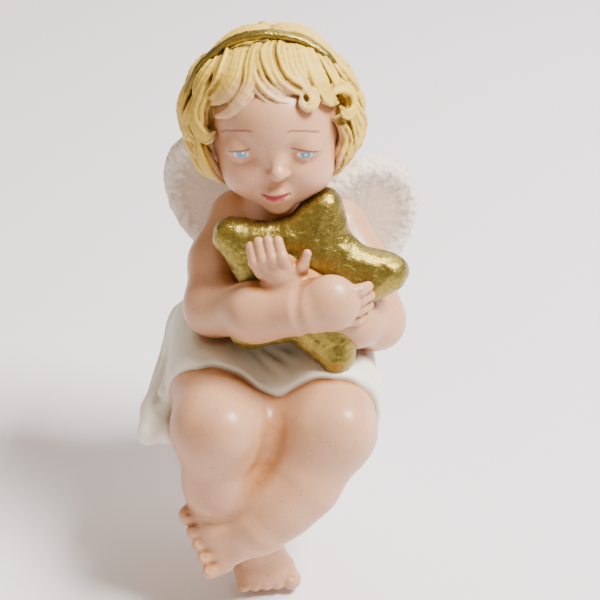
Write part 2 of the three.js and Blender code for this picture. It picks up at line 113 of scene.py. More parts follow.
# %% Camera
low, high = (np.array(corner) / MM for corner in BOX_AT_LOAD)
AIM = low + (high - low) * np.array([0.567, 0.494, 0.521])
VIEW_ANGLE = math.radians(32)
VIEW_DISTANCE = 420
camera = bpy.data.objects.new("camera", bpy.data.cameras.new("camera"))
bpy.context.scene.collection.objects.link(camera)
camera.data.sensor_width = 36
camera.data.lens = 92
eye = AIM + VIEW_DISTANCE * np.array([0, -math.cos(VIEW_ANGLE), math.sin(VIEW_ANGLE)])
camera.location = Vector(eye) * MM
camera.rotation_euler = (Vector(AIM) - Vector(eye)).to_track_quat("-Z", "Y").to_euler()
camera.data.clip_start = 0.01
bpy.context.scene.camera = camera
print("the camera stands at", [round(v) for v in eye], "mm")

# %% [markdown]
# ## Clay
#
# A form is how to lay it down as a mesh, and how far any point is from its surface. The distance is
# what makes the surface smooth. Where two forms meet, a smooth minimum of their distances fills the
# corner, as a thumb fills it with clay, and a smooth maximum presses one form out of another. Each
# form knows the ball that it fits in, so that points far from it needn't be measured.

# %% Balls and bars
GRAIN = 1  # coarser skins while the work goes on


def form(middle, reach, distance, lay):
    return {"middle": middle, "reach": reach, "distance": distance, "lay": lay}


def ball(centre, radii, turn=(0, 0, 0)):
    """An ellipsoid. radii is one number or three, and turn is in degrees."""
    centre = np.asarray(centre, float)
    radii = np.ones(3) * radii
    turning = Euler([math.radians(a) for a in turn]).to_matrix()
    axes = np.array(turning)

    def distance(points):
        local = (points - centre) @ axes
        near = np.linalg.norm(local / radii, axis=1)
        slope = np.linalg.norm(local / radii**2, axis=1)
        return near * (near - 1) / np.maximum(slope, 1e-6)

    def lay(mesh):
        shape = turning.to_4x4() @ Matrix.Diagonal((*radii, 1))
        place = Matrix.Translation(Vector(centre)) @ shape
        bmesh.ops.create_uvsphere(mesh, u_segments=24, v_segments=16, radius=1, matrix=place)

    return form(centre, radii.max(), distance, lay)


def bar(a, b, start, end):
    """A bar with round ends, tapering from radius start at a to radius end at b."""
    a, b = np.asarray(a, float), np.asarray(b, float)
    run = b - a
    length = np.linalg.norm(run)

    def distance(points):
        away = points - a
        along = np.clip(away @ run / length**2, 0, 1)
        return np.linalg.norm(away - along[:, None] * run, axis=1) - start - (end - start) * along

    def lay(mesh):
        turning = Vector(run).to_track_quat("Z", "Y").to_matrix().to_4x4()
        place = Matrix.Translation(Vector((a + b) / 2)) @ turning
        bmesh.ops.create_cone(mesh, cap_ends=True, segments=20, radius1=start, radius2=end,
                              depth=length, matrix=place)
        for centre, radius in ((a, start), (b, end)):
            bmesh.ops.create_uvsphere(mesh, u_segments=20, v_segments=12, radius=radius,
                                      matrix=Matrix.Translation(Vector(centre)))

    return form((a + b) / 2, length / 2 + max(start, end), distance, lay)


# %% Filling and pressing
def smooth_least(a, b, width):
    """The smaller of two distances, with the corner between them filled over this width."""
    near = np.maximum(width - np.abs(a - b), 0) / width
    return np.minimum(a, b) - near**2 * width / 4


def blend(width, *forms):
    """Forms joined with filled corners."""
    middle = np.mean([f["middle"] for f in forms], axis=0)
    reach = max(np.linalg.norm(f["middle"] - middle) + f["reach"] for f in forms) + width / 2

    def distance(points):
        total = np.full(len(points), 1e3)
        for f in forms:
            least = np.linalg.norm(points - f["middle"], axis=1) - f["reach"]
            near = least < total + width
            if near.any():
                total[near] = smooth_least(total[near], f["distance"](points[near]), width)
        return total

    def lay(mesh):
        for f in forms:
            f["lay"](mesh)

    return form(middle, reach, distance, lay)


def pressed(width, body, *cutters):
    """A form with others pressed out of it. Cutters only shape the surface by a few mm."""

    def distance(points):
        total = body["distance"](points)
        for cutter in cutters:
            total = -smooth_least(-total, cutter["distance"](points), width)
        return total

    return form(body["middle"], body["reach"], distance, body["lay"])


def side(point, direction):
    """All that lies behind a plane, as a cutter."""
    direction = unit(direction)
    return form(point, 1e3, lambda points: (points - point) @ direction, lambda mesh: None)


def chain(width, *stations):
    """Bars through (point, radius) stations, with their corners filled."""
    pairs = zip(stations, stations[1:])
    return blend(width, *[bar(a, b, start, end) for (a, start), (b, end) in pairs])


def packing(a, b, radius):
    """A bar that is laid to close a slit between two forms, and then pressed back with the rest."""
    stuffed = bar(a, b, radius, radius)
    return form(stuffed["middle"], stuffed["reach"], lambda points: np.full(len(points), 50.0),
                stuffed["lay"])


def ring(centre, axis, radius, thickness):
    """A ring, to press a crease round a limb."""
    axis = unit(axis)

    def distance(points):
        local = points - centre
        height = local @ axis
        out = np.linalg.norm(local - height[:, None] * axis, axis=1) - radius
        return np.hypot(out, height) - thickness

    return form(centre, radius + thickness, distance, lambda mesh: None)


# %% [markdown]
# Laying down makes a rough mesh of overlapping balls and bars. The Remesh modifier turns that to one
# closed skin of small even squares. Each point then walks along the slope of the distance until it
# lies on the clay, and between the walks the points are spread out evenly along the surface.


# %% Points, normals and edges of a mesh as arrays
def points_of(piece):
    """The piece's vertices in mm."""
    flat = np.empty(len(piece.data.vertices) * 3)
    piece.data.vertices.foreach_get("co", flat)
    return flat.reshape(-1, 3) / MM


def move_points(piece, points):
    piece.data.vertices.foreach_set("co", (points * MM).ravel())
    piece.data.update()


def normals_of(piece):
    flat = np.empty(len(piece.data.vertices) * 3)
    piece.data.vertices.foreach_get("normal", flat)
    return flat.reshape(-1, 3)


def edges_of(piece):
    flat = np.empty(len(piece.data.edges) * 2, int)
    piece.data.edges.foreach_get("vertices", flat)
    return flat.reshape(-1, 2)


def spread(values, edges, rounds, share=0.5):
    """Values per vertex, each drawn towards the mean of its neighbours."""
    count = len(values)
    ends = np.concatenate([edges[:, 0], edges[:, 1]])
    others = np.concatenate([edges[:, 1], edges[:, 0]])
    degree = np.maximum(np.bincount(ends, minlength=count), 1)
    values = values.reshape(count, -1).copy()
    for _ in range(rounds):
        mean = [np.bincount(ends, values[others, i], count) / degree for i in range(values.shape[1])]
        values += (np.stack(mean, 1) - values) * share
    return values


# %% Pressing a skin onto the clay
def press(distance, points, rounds):
    """Walks points onto the surface where the distance is nought."""
    for _ in range(rounds):
        here = distance(points)
        slope = np.stack([distance(points + step) - here for step in np.eye(3) * 0.05], 1) / 0.05
        length = np.maximum((slope**2).sum(1), 0.2)
        points = points - np.clip(here / length, -1, 1)[:, None] * slope
    return points


def new_piece(name, mesh):
    """An object for a finished bmesh that is in mm."""
    bmesh.ops.scale(mesh, verts=mesh.verts, vec=(MM, MM, MM))
    data = bpy.data.meshes.new(name)
    mesh.to_mesh(data)
    mesh.free()
    piece = bpy.data.objects.new(name, data)
    bpy.context.scene.collection.objects.link(piece)
    return piece


def drop_crumbs(data):
    """Keeps only the largest connected part, because fusing can leave crumbs inside."""
    mesh = bmesh.new()
    mesh.from_mesh(data)
    waiting = set(mesh.verts)
    parts = []
    while waiting:
        part = [waiting.pop()]
        for vertex in part:
            near = {edge.other_vert(vertex) for edge in vertex.link_edges} & waiting
            waiting -= near
            part.extend(near)
        parts.append(part)
    crumbs = [vertex for part in sorted(parts, key=len)[:-1] for vertex in part]
    bmesh.ops.delete(mesh, geom=crumbs, context="VERTS")
    mesh.to_mesh(data)
    mesh.free()


def fuse(piece, grain):
    """Turns overlapping closed shapes to one closed skin of squares of this size in mm."""
    remesh = piece.modifiers.new("fuse", "REMESH")
    remesh.mode = "VOXEL"
    remesh.voxel_size = grain * GRAIN * MM
    bpy.context.view_layer.update()
    final = bpy.data.meshes.new_from_object(piece.evaluated_get(bpy.context.evaluated_depsgraph_get()))
    drop_crumbs(final)
    piece.modifiers.clear()
    piece.data = final
    piece.data.polygons.foreach_set("use_smooth", np.ones(len(final.polygons), bool))


def settle(piece, distance, passes=3):
    """Presses a fused skin onto the clay and spreads its points evenly."""
    edges = edges_of(piece)
    points = points_of(piece)
    for _ in range(passes):
        points = spread(press(distance, points, 2), edges, 2)
    move_points(piece, press(distance, points, 2))
    print(f"{piece.name}: {len(piece.data.polygons)} faces")
    return piece


def mould(name, clay, grain):
    """One closed skin on the clay, with squares of this size in mm."""
    mesh = bmesh.new()
    clay["lay"](mesh)
    piece = new_piece(name, mesh)
    fuse(piece, grain)
    return settle(piece, clay["distance"])


# %% [markdown]
# Paint is thin, but the wash that the painter wipes into the creases follows the form, and the same
# crease depth also paints in the shade that falls in creases and where pieces meet. How deep a point
# lies in a crease is read from the clay itself: a step out from an open surface takes you as far from
# it as you stepped, and a step out of a crease doesn't.


# %% How deep a point lies in a crease
def paint_value(piece, name, values):
    """Stores a value per vertex for the materials to read."""
    layer = piece.data.attributes.new(name, "FLOAT", "POINT")
    layer.data.foreach_set("value", np.asarray(values, np.float32).ravel())


def wash_and_shade_depth(piece, distance, steps=(0.8, 1.8, 3.6, 6), rounds=5):
    """Stores how deep each point lies in a crease, from 0 in the open to 1, softened over its rounds."""
    points, out = points_of(piece), normals_of(piece)
    shut = [np.clip(1 - distance(points + out * step) / step, 0, 1) for step in steps]
    depth = spread(np.mean(shut, axis=0), edges_of(piece), rounds)
    paint_value(piece, "crease", depth)


# %% [markdown]
# ## Legs
#
# Chubby baby legs: a round thigh, a full knee, a calf that swells behind and a slim ankle, with feet
# like small cushions. The legs are crossed at the ankles, left in front, and the thighs touch all the
# way down to the calves. They are fused as one skin, so that the crease between them is filled and
# soft, and are parted again along that crease afterwards. The front foot is laid on last, with less
# filling, because its edge stands clear of the shin behind it.

# %% Places on the legs
RIGHT_HIP = spot("right_leg", 0.378, 0.798, 0.812)
RIGHT_KNEE = spot("right_leg", 0.386, 0.191, 0.779)
RIGHT_CALF = spot("right_leg", 0.419, 0.176, 0.534)
RIGHT_ANKLE = spot("right_leg", 0.643, 0.234, 0.224)
LEFT_HIP = spot("left_leg", 0.700, 0.812, 0.736)
LEFT_KNEE = spot("left_leg", 0.750, 0.249, 0.675)
LEFT_CALF = spot("left_leg", 0.611, 0.175, 0.420)
LEFT_ANKLE = spot("left_leg", 0.391, 0.093, 0.211)
print("the knees are", round(np.linalg.norm(LEFT_KNEE - RIGHT_KNEE), 1), "mm apart")


# %% Foot and toes
def foot(ankle, forward, instep, big_toe_side, length, width=1):
    """A bare foot that points forward. The big toe is on the side that the sign gives."""
    forward = unit(forward)
    up = unit(instep - forward * (forward @ instep))
    inner = np.cross(forward, up) * big_toe_side

    def on(f, u, s):
        return ankle + forward * f + up * u + inner * s * width

    sole = blend(
        3,
        bar(ankle, on(-1, -5, 0), 6.6, 6.2),
        bar(ankle, on(length * 0.58, -5, 1), 6.6, 4.8),
        bar(on(0, -5, 0), on(length * 0.67, -5.8, 3.8), 5.6, 4.1),
        bar(on(0, -5, 0), on(length * 0.6, -6, 0), 5.6, 4),
        bar(on(0, -5, 0), on(length * 0.54, -6.2, -4.4), 5.6, 3.8),
    )
    toes = []
    for i, radius in enumerate((2.9, 2.3, 2.2, 2.1, 2)):
        across = 5.7 - (0 if i == 0 else 3.1 * i + 0.8)
        reach = length - 0.8 * i - 0.3
        root, tip = on(reach - 4.4, -5.6, across * 0.92), on(reach, -6.2, across)
        nail = ball(tip + forward * 0.5 + up * (radius + 0.15), (0.8, 0.8, 0.5))
        toe = blend(0.8, bar(root, between(root, tip, 0.6), radius * 0.9, radius * 0.9),
                    ball(tip, radius))
        toes.append(pressed(0.3, toe, nail))
    return blend(1.3, sole, blend(0.5, *toes))


# %% Leg from hip to ankle
HIP_RADIUS, THIGH_RADIUS, KNEE_RADIUS, SHIN_RADIUS, ANKLE_RADIUS = 13.6, 13, 11.8, 8.2, 6.6
KNEE_CAP, CALF_SWELL = (6.6, 6, 7.4), (8.6, 8.6, 11.4)
CROSSED_FILL = 5.4  # how wide the corner between the crossed legs is filled
FOOT_FILL = 1.6  # and between the front foot and the shin that it lies on


def leg(hip, knee, calf, ankle, knee_cap, swell, calf_radius):
    thigh, shin = between(hip, knee, 0.6), between(calf, ankle, 0.55)
    limb = chain(5, (hip, HIP_RADIUS), (thigh, THIGH_RADIUS), (knee, KNEE_RADIUS), (calf, calf_radius),
                 (shin, SHIN_RADIUS), (ankle, ANKLE_RADIUS))
    return blend(3.4, limb, ball(knee + knee_cap, KNEE_CAP), ball(calf + swell, CALF_SWELL))


right_leg_clay = blend(
    FOOT_FILL,
    leg(RIGHT_HIP, RIGHT_KNEE, RIGHT_CALF, RIGHT_ANKLE, knee_cap=[2.2, -7, 3.6], swell=[-1.2, 2.6, 1],
        calf_radius=10.4),
    foot(RIGHT_ANKLE, [0.38, -0.72, -0.58], np.array([0.1, -0.5, 0.8]), -1, 14.6),
)
left_shank = leg(LEFT_HIP, LEFT_KNEE, LEFT_CALF, LEFT_ANKLE, knee_cap=[3.2, -6, 4.4],
                 swell=[-0.6, 3, -1.4], calf_radius=9.4)
left_foot = foot(LEFT_ANKLE, [-0.97, -0.22, -0.02], np.array([-0.1, -0.72, 0.68]), 1, 18.4, width=1.22)
left_leg_clay = blend(FOOT_FILL, left_shank, left_foot)

# %% Legs as one skin
# clay between the thighs, the knees and the calves, so that they touch
web = chain(3, ([1.7, -28, 7], 8.6), ([1.6, -42, 3.6], 8), ([-1, -49, -10], 6.4),
            ([-4.4, -52.6, -19], 4.4))
knees = bar(RIGHT_KNEE + [3, 5, -1], LEFT_KNEE + [-3, 5, -1], 8, 8)
joined_legs = blend(CROSSED_FILL, right_leg_clay, left_shank, web, knees)
legs_clay = blend(
    FOOT_FILL,
    joined_legs,
    left_foot,
    packing(RIGHT_CALF, LEFT_CALF, 7.5),
    packing(between(RIGHT_CALF, RIGHT_ANKLE, 0.4), between(LEFT_CALF, LEFT_ANKLE, 0.6), 6),
    packing(between(RIGHT_CALF, RIGHT_ANKLE, 0.5), LEFT_ANKLE + [-9.7, -1, 0], 5.5),
    packing(between(RIGHT_CALF, RIGHT_ANKLE, 0.3), LEFT_ANKLE + [-15, 3.4, 0], 4),
)
legs_skin = mould("legs", legs_clay, 0.45)

# %% [markdown]
# ## Torso and arms
#
# The arms hug the star: the right one crosses in front and lays its hand on the star's side, the left
# one comes up behind it with an open hand. Both wrists have the fat fold of a baby's wrist.

# %% Places on the arms
RIGHT_SHOULDER = spot("right_arm", 0.277, 0.835, 0.724)
RIGHT_ELBOW = spot("right_arm", 0.158, 0.459, 0.245)
RIGHT_FOREARM = spot("right_arm", 0.387, 0.224, 0.432)
RIGHT_WRIST = spot("right_arm", 0.637, 0.120, 0.556)
RIGHT_HAND = spot("right_arm", 0.786, 0.113, 0.630)
LEFT_SHOULDER = spot("left_arm", 0.586, 0.807, 0.617)
LEFT_ELBOW = spot("left_arm", 0.815, 0.460, 0.179)
LEFT_FOREARM = spot("left_arm", 0.645, 0.243, 0.336)
LEFT_WRIST = spot("left_arm", 0.341, 0.113, 0.604)
LEFT_HAND = spot("left_arm", 0.215, 0.113, 0.738)
print("the shoulders are", round(np.linalg.norm(LEFT_SHOULDER - RIGHT_SHOULDER), 1), "mm apart")


# %% Fingers
def finger(root, reach, curl, length, radius):
    """One finger, which bends at its middle joint and tapers to the tip."""
    bend = root + reach * length * 0.5
    tip = bend + reach * length * 0.38 + curl * length * 0.32
    return chain(0.6, (root, radius), (bend, radius * 0.97), (tip, radius * 0.8))


def fingers(knuckle, across, reach, curl, lengths, radius):
    """Four fingers side by side, from the first to the little one."""
    reach, curl = unit(reach), unit(curl)
    shapes = [finger(knuckle + np.array(across) * (i - 1.5), reach, curl, length, radius)
              for i, length in enumerate(lengths)]
    return blend(0.3, *shapes)


# %% Hands and arms
SHOULDER_RADIUS, UPPER_RADIUS, ELBOW_RADIUS, FOREARM_RADIUS, WRIST_RADIUS = 8.4, 8.6, 7.7, 7.5, 6.5


def arm(shoulder, elbow, forearm, wrist, lean):
    """Shoulder to wrist. lean bows the upper arm outwards."""
    upper = between(shoulder, elbow, 0.5) + np.array([lean, 0, 0])
    return chain(4, (shoulder, SHOULDER_RADIUS), (upper, UPPER_RADIUS), (elbow, ELBOW_RADIUS),
                 (forearm, FOREARM_RADIUS), (wrist, WRIST_RADIUS))


right_hand = blend(
    0.9,
    blend(2.2, ball(RIGHT_HAND + [-0.6, 0, 0], (7.6, 6.2, 7.7)), bar(RIGHT_WRIST, RIGHT_HAND, 5.8, 5.8)),
    fingers(RIGHT_HAND + [4.2, 0, -0.9], (-0.1, 0.3, -3.1), [0.95, 0.3, -0.05], [0.3, 1, 0],
            (5.2, 5.9, 5.7, 4.6), 1.7),
)
left_hand = blend(
    0.7,
    blend(2, ball(LEFT_HAND, (5.6, 3.6, 5)), bar(LEFT_WRIST, LEFT_HAND, 5, 4.4)),
    fingers(LEFT_HAND + [-1.4, -1.6, 1.2], (-2.4, 0.3, -0.6), [-0.42, -0.1, 0.9], [0.1, 0.9, 0.25],
            (8.4, 9, 9, 8), 1.6),
    chain(0.8, (LEFT_HAND + [3.4, -0.6, -1.6], 2.3), (LEFT_HAND + [5.4, -1.4, 2.4], 1.8),
          (LEFT_HAND + [6.8, -1.2, 6.2], 1.2)),
)
right_arm_clay = pressed(
    1.6,
    blend(1.8, arm(RIGHT_SHOULDER, RIGHT_ELBOW, RIGHT_FOREARM, RIGHT_WRIST, -1.2), right_hand),
    ring(RIGHT_WRIST + [0.6, 0, 0.3], RIGHT_HAND - RIGHT_FOREARM, 7.5, 1.15),
)
left_arm_clay = blend(1.6, arm(LEFT_SHOULDER, LEFT_ELBOW, LEFT_FOREARM, LEFT_WRIST, 1.2), left_hand)

# %% Torso
CHEST = spot("torso", 0.519, 0.408, 0.494)
BELLY = spot("torso", 0.467, 0.548, 0.271)
NECK = spot("torso", 0.497, 0.481, 0.825)
HEAD = spot("head", 0.500, 0.522, 0.500)
PEG_BOSS = 4.8  # clay round each dowel that leaves the torso
torso_clay = blend(
    5,
    bar(RIGHT_SHOULDER + [2, 0, 0], LEFT_SHOULDER - [2, 0, 0], SHOULDER_RADIUS, SHOULDER_RADIUS),
    ball(CHEST, (17.5, 13.6, 16.6)),
    ball(BELLY, (17, 15, 14.4)),
    bar((RIGHT_SHOULDER + LEFT_SHOULDER) / 2, NECK, 10, 8),
    bar(NECK, between(NECK, HEAD, 0.3), 8, 7.4),
    *[ball(spot(peg, *place), PEG_BOSS) for peg, place in (("right_wing_peg", (0.5, 0.5, 0.5)),
      ("left_wing_peg", (0.5, 0.5, 0.5)), ("star_peg", (0.5, 0.6, 0.5)))],
)
upper_clay = blend(2, torso_clay, right_arm_clay, left_arm_clay)
upper_skin = mould("upper_body", upper_clay, 0.42)

# %% [markdown]
# ## Head and face
#
# A doll's face with full cheeks, a small nose and heavy upper lids, because the eyes look down at the
# star. The lids are thin shells round the eyeballs, cut off at the lid line, as a sculptor would lay
# two thin strips over a ball.


# %% Head
def at(x, y, z):
    """A point on the head, in mm from its middle."""
    return HEAD + [x, y, z]


EYE_RIGHT, EYE_LEFT = at(-8.1, -13.6, 1.6), at(8.2, -13.6, 1.6)
EYE_RADIUS = 3.7
NOSE_TIP = at(1.2, -19.8, -3)


def upper_lid(eye):
    return pressed(0.35, ball(eye, (4.2, 4.25, 3.9)), side(eye + [0, -4.2, 0.55], [0, 0.3, 1]))


def lower_lid(eye):
    return chain(0.8, (eye + [-3, -1.6, -1.1], 0.35), (eye + [0, -2.7, -2.2], 0.45),
                 (eye + [3, -1.6, -1.1], 0.35))


skull = blend(
    4,
    ball(at(0.3, 0.4, 0.8), (17.4, 18.8, 18.2)),
    ball(at(-6.2, -9.8, -6.8), (7, 8, 7)),
    ball(at(8.2, -9.8, -6.6), (7.2, 8, 7)),
    ball(at(1.2, -8, -11), (8.2, 9.4, 6.6)),
    ball(at(-0.3, -4.5, 7.5), (13.6, 14.2, 11.5)),
)
skull = pressed(3, skull, ball(at(-8.1, -20.2, 1.4), (4.8, 4, 3.2)),
                ball(at(8.2, -20.2, 1.4), (4.8, 4, 3.2)))
head_clay = blend(
    1.8,
    skull,
    ball(at(0.6, -14.7, -10.2), (4.8, 4, 4.2)),
    ball(at(1.1, -13.4, -14.6), (3.8, 3.6, 3)),
    chain(1.5, (at(0.5, -16.4, 2.4), 1.4), (at(0.9, -18, -0.6), 1.3), (NOSE_TIP, 2.1)),
)
head_clay = blend(1.8, head_clay, upper_lid(EYE_RIGHT), upper_lid(EYE_LEFT))
head_clay = blend(
    0.9,
    head_clay,
    ball(NOSE_TIP + [-1.8, 1.6, -0.9], (1.2, 1.5, 1.1)),
    ball(NOSE_TIP + [1.8, 1.6, -0.9], (1.2, 1.5, 1.1)),
    ball(EYE_RIGHT, EYE_RADIUS),
    ball(EYE_LEFT, EYE_RADIUS),
    lower_lid(EYE_RIGHT),
    lower_lid(EYE_LEFT),
    chain(0.8, (at(-2.3, -17.5, -9.9), 0.5), (at(-0.7, -18.3, -9.3), 0.75),
          (at(0.5, -18.4, -9.5), 0.7), (at(1.7, -18.3, -9.3), 0.75), (at(3.3, -17.5, -9.9), 0.5)),
    chain(0.8, (at(-1.3, -17.7, -11.2), 0.6), (at(0.5, -18.1, -11.6), 0.85),
          (at(2.3, -17.7, -11.2), 0.6)),
)
MOUTH_LINE = [at(-3, -17.9, -9.9), at(-0.9, -18.9, -10.2), at(0.5, -19.1, -10.4),
              at(1.9, -18.9, -10.2), at(4, -17.9, -9.9)]
head_clay = pressed(0.5, head_clay, chain(0.3, *[(point, 0.32) for point in MOUTH_LINE]))
head = mould("head_cast", head_clay, 0.32)

# %% [markdown]
# The face is painted with a fine brush. Each stroke is stored on the skin as the distance to the path
# of the brush, seen from the front, so the material can draw it with a crisp edge.


# %% Brush strokes on the face
def stroke(path):
    """How far each point of the head is from a path, in mm and seen from the front."""
    flat = points_of(head)[:, [0, 2]]
    least = np.full(len(flat), 50.0)
    for a, b in zip(path, path[1:]):
        a, b = np.asarray(a)[[0, 2]], np.asarray(b)[[0, 2]]
        run = b - a
        along = np.clip((flat - a) @ run / max(run @ run, 1e-9), 0, 1)
        least = np.minimum(least, np.linalg.norm(flat - a - along[:, None] * run, axis=1))
    return least


def both(left, right):
    return np.minimum(stroke(left), stroke(right))


brows = both([at(-13.2, 0, 4.9), at(-12, 0, 6.1), at(-9.5, 0, 7.1), at(-7, 0, 7.9), at(-5.4, 0, 8)],
             [at(3.8, 0, 8), at(5, 0, 8.2), at(8, 0, 7.5), at(11.6, 0, 5.9)])
lids = both([at(-11.4, 0, 1.5), at(-10, 0, 1.9), at(-8, 0, 2.35), at(-6, 0, 2.7)],
            [at(4.8, 0, 2.9), at(6.6, 0, 2.6), at(8.4, 0, 2.4), at(11.4, 0, 1.5)])
IRIS_RIGHT, IRIS_LEFT = at(-8.1, 0, 1.15), at(8.3, 0, 1.05)
irises = both([IRIS_RIGHT - [0.4, 0, 0], IRIS_RIGHT + [0.4, 0, 0]],
              [IRIS_LEFT - [0.4, 0, 0], IRIS_LEFT + [0.4, 0, 0]])
glints = both([IRIS_RIGHT + [0.5, 0, 0.4]] * 2, [IRIS_LEFT] * 2)
whites = both([IRIS_RIGHT + [-1.2, 0, -0.1], IRIS_RIGHT + [1.3, 0, -0.1]],
              [IRIS_LEFT + [-1.5, 0, -0.1], IRIS_LEFT + [1.2, 0, -0.1]])
lips = np.minimum(stroke([at(-2.2, 0, -10), at(-0.6, 0, -10.2), at(0.5, 0, -10.4), at(1.6, 0, -10.2),
                         at(3.2, 0, -10)]),
                  stroke([at(-1.4, 0, -10.8), at(0.5, 0, -11.1), at(2.4, 0, -10.8)]))
blush = both([at(-8.6, 0, -6.4)] * 2, [at(11, 0, -6)] * 2)
behind = 4 * (points_of(head)[:, 1] > HEAD[1])  # no stroke shows on the back of the head
for name, values in {"brow": brows, "lid": lids, "iris": irises, "glint": glints, "white": whites,
                     "lip": lips, "blush": blush}.items():
    paint_value(head, name, values + behind)
print("the face is painted with 7 sets of strokes")

# %% [markdown]
# ## Hair
#
# The sculptor rolled the hair as locks of parallel strands and laid them over a cap: a fringe combed
# to both sides of a parting, crown locks that fan out from the parting behind the band, and wavy
# tiers down to the neck. Each strand is a round bar that follows the head, so places on the hair are
# given as degrees round the head, degrees up from its middle, and a height in mm.

# %% Strands and locks
HAIR_CENTRE = HEAD + [-0.6, 4, 1.4]
HAIR_RADII = np.array([23.2, 24.2, 23.6])
HAIR_DICE = np.random.default_rng(7)
STRAND_SPACING = 1.1
strands = []


def on_hair(turn, rise, height):
    """A point over the head, and the direction out of the head there."""
    turn, rise = math.radians(turn), math.radians(rise)
    way = np.array([math.cos(rise) * math.sin(turn), -math.cos(rise) * math.cos(turn), math.sin(rise)])
    return HAIR_CENTRE + way * HAIR_RADII + way * height, way


def smooth_path(stations, count):
    """Evenly spaced points on a smooth curve through the stations."""
    line = np.array([stations[0]] + list(stations) + [stations[-1]], float)
    points = []
    for t in np.linspace(0, len(stations) - 1, count):
        i = min(int(t), len(stations) - 2)
        a, b, c, d = line[i : i + 4]
        u = t - i
        points.append(0.5 * (2 * b + (c - a) * u + (2 * a - 5 * b + 4 * c - d) * u**2
                             + (3 * b - a - 3 * c + d) * u**3))
    return points


def lock(stations, width, high=0.6, low=-2.2, count=13):
    """Lays a lock through (turn, rise) stations: a core, and strands side by side on it."""
    path = smooth_path(stations, count)
    share = np.linspace(0, 1, count)
    swell = width * (0.62 + 0.5 * np.sin(np.pi * np.clip(share * 1.1, 0, 1)) - 0.34 * share**4)
    lift = -1.2 + (high + 1.2) * np.sin(np.pi * share**0.8) + (low + 1.2) * share**3
    spine, out = map(np.array, zip(*[on_hair(turn, rise, up) for (turn, rise), up in zip(path, lift)]))
    along = np.gradient(spine, axis=0)
    across = np.cross(along, out)
    across /= np.linalg.norm(across, axis=1)[:, None]
    strands.append((spine - out * (swell * 0.42)[:, None], swell * 0.36))
    amount = max(3, round(width / STRAND_SPACING))
    for i in range(amount):
        place = (i - (amount - 1) / 2) / amount
        sway = place * swell + HAIR_DICE.normal(0, 0.24) * np.sin(share * HAIR_DICE.uniform(4, 9))
        drop = swell * place**2 * 0.9 - HAIR_DICE.normal(0, 0.3)
        radius = swell / amount * 0.56 * HAIR_DICE.uniform(0.84, 1.22)
        strands.append((spine + across * sway[:, None] - out * drop[:, None], radius))


# %% Fringe and side locks
# left of the parting, as you look at the face
lock([(-60, 84), (-33, 70), (-23, 57), (-19, 46), (-25, 34), (-36, 24), (-49, 19)], 5, low=-3)
lock([(-80, 74), (-49, 65), (-35, 54), (-35, 42), (-43, 32), (-58, 25)], 5)
lock([(-88, 62), (-63, 58), (-51, 46), (-54, 36), (-66, 24)], 5)
lock([(-92, 52), (-74, 48), (-70, 36), (-72, 24), (-79, 14)], 5, high=1.2)
lock([(-92, 36), (-86, 26), (-84, 12), (-86, 0), (-78, -12), (-82, -22)], 4.6, high=1.5)
lock([(-98, 30), (-94, 16), (-96, 2), (-90, -14), (-94, -26)], 4.6, high=1.4)
lock([(-62, 26), (-67, 16), (-60, 7), (-50, 3), (-46, 8)], 4, high=0.2, low=-3.2)
lock([(-74, 26), (-70, 14), (-74, 4), (-64, -4), (-55, -4)], 4.4)
lock([(-74, 10), (-70, 2), (-78, -8), (-68, -18), (-60, -24)], 4.4)
lock([(-60, 2), (-55, -10), (-50, -20), (-49, -32), (-54, -44)], 4, low=-3)
lock([(-80, -12), (-73, -24), (-66, -33), (-60, -44)], 4.2)
lock([(-70, 42), (-63, 30), (-64, 18), (-60, 6), (-65, -8)], 4.8, high=-0.3, low=-2.4)
# right of the parting
lock([(-30, 86), (-26, 70), (-17, 57), (-10, 48), (-1, 41), (10, 36), (21, 35), (28, 39)], 4.4, low=-2)
lock([(10, 86), (-12, 72), (-5, 58), (5, 47), (16, 41), (25, 40)], 4, high=1.2)
lock([(40, 84), (12, 73), (9, 60), (14, 49), (24, 43), (32, 37), (33, 29)], 4.4, high=1.2, low=-2)
lock([(70, 80), (43, 71), (28, 58), (31, 46), (37, 38), (40, 30)], 4.4)
lock([(85, 70), (62, 64), (48, 53), (45, 41), (47, 32), (55, 27), (66, 25)], 4.4, high=1)
lock([(92, 60), (75, 56), (66, 46), (64, 36), (71, 26), (72, 17), (61, 13), (50, 17)], 4, low=-3)
lock([(96, 48), (84, 44), (80, 34), (90, 20), (90, 8), (86, -2)], 4.6, high=1.5)
lock([(98, 30), (92, 16), (97, 2), (90, -14), (95, -28)], 4.8, high=1.6)
lock([(78, 26), (74, 12), (82, 0), (76, -12), (82, -24), (76, -34)], 4.6, high=1.2)
lock([(70, 18), (73, 4), (77, -10), (71, -20), (72, -31), (66, -40)], 4.4)
lock([(57, 12), (62, -2), (58, -14), (63, -26), (58, -40)], 4, high=0.2, low=-3.2)
# the two curls that end the fringe on the right
lock([(24, 42), (31, 39), (33, 33), (28, 29), (23, 32), (25, 37)], 2.8, high=1.5, low=0.9)
lock([(52, 34), (62, 33), (70, 26), (66, 17), (56, 17), (54, 24)], 3.4, high=1.5, low=0.9)
print(f"{len(strands)} strands in the fringe and at the sides")

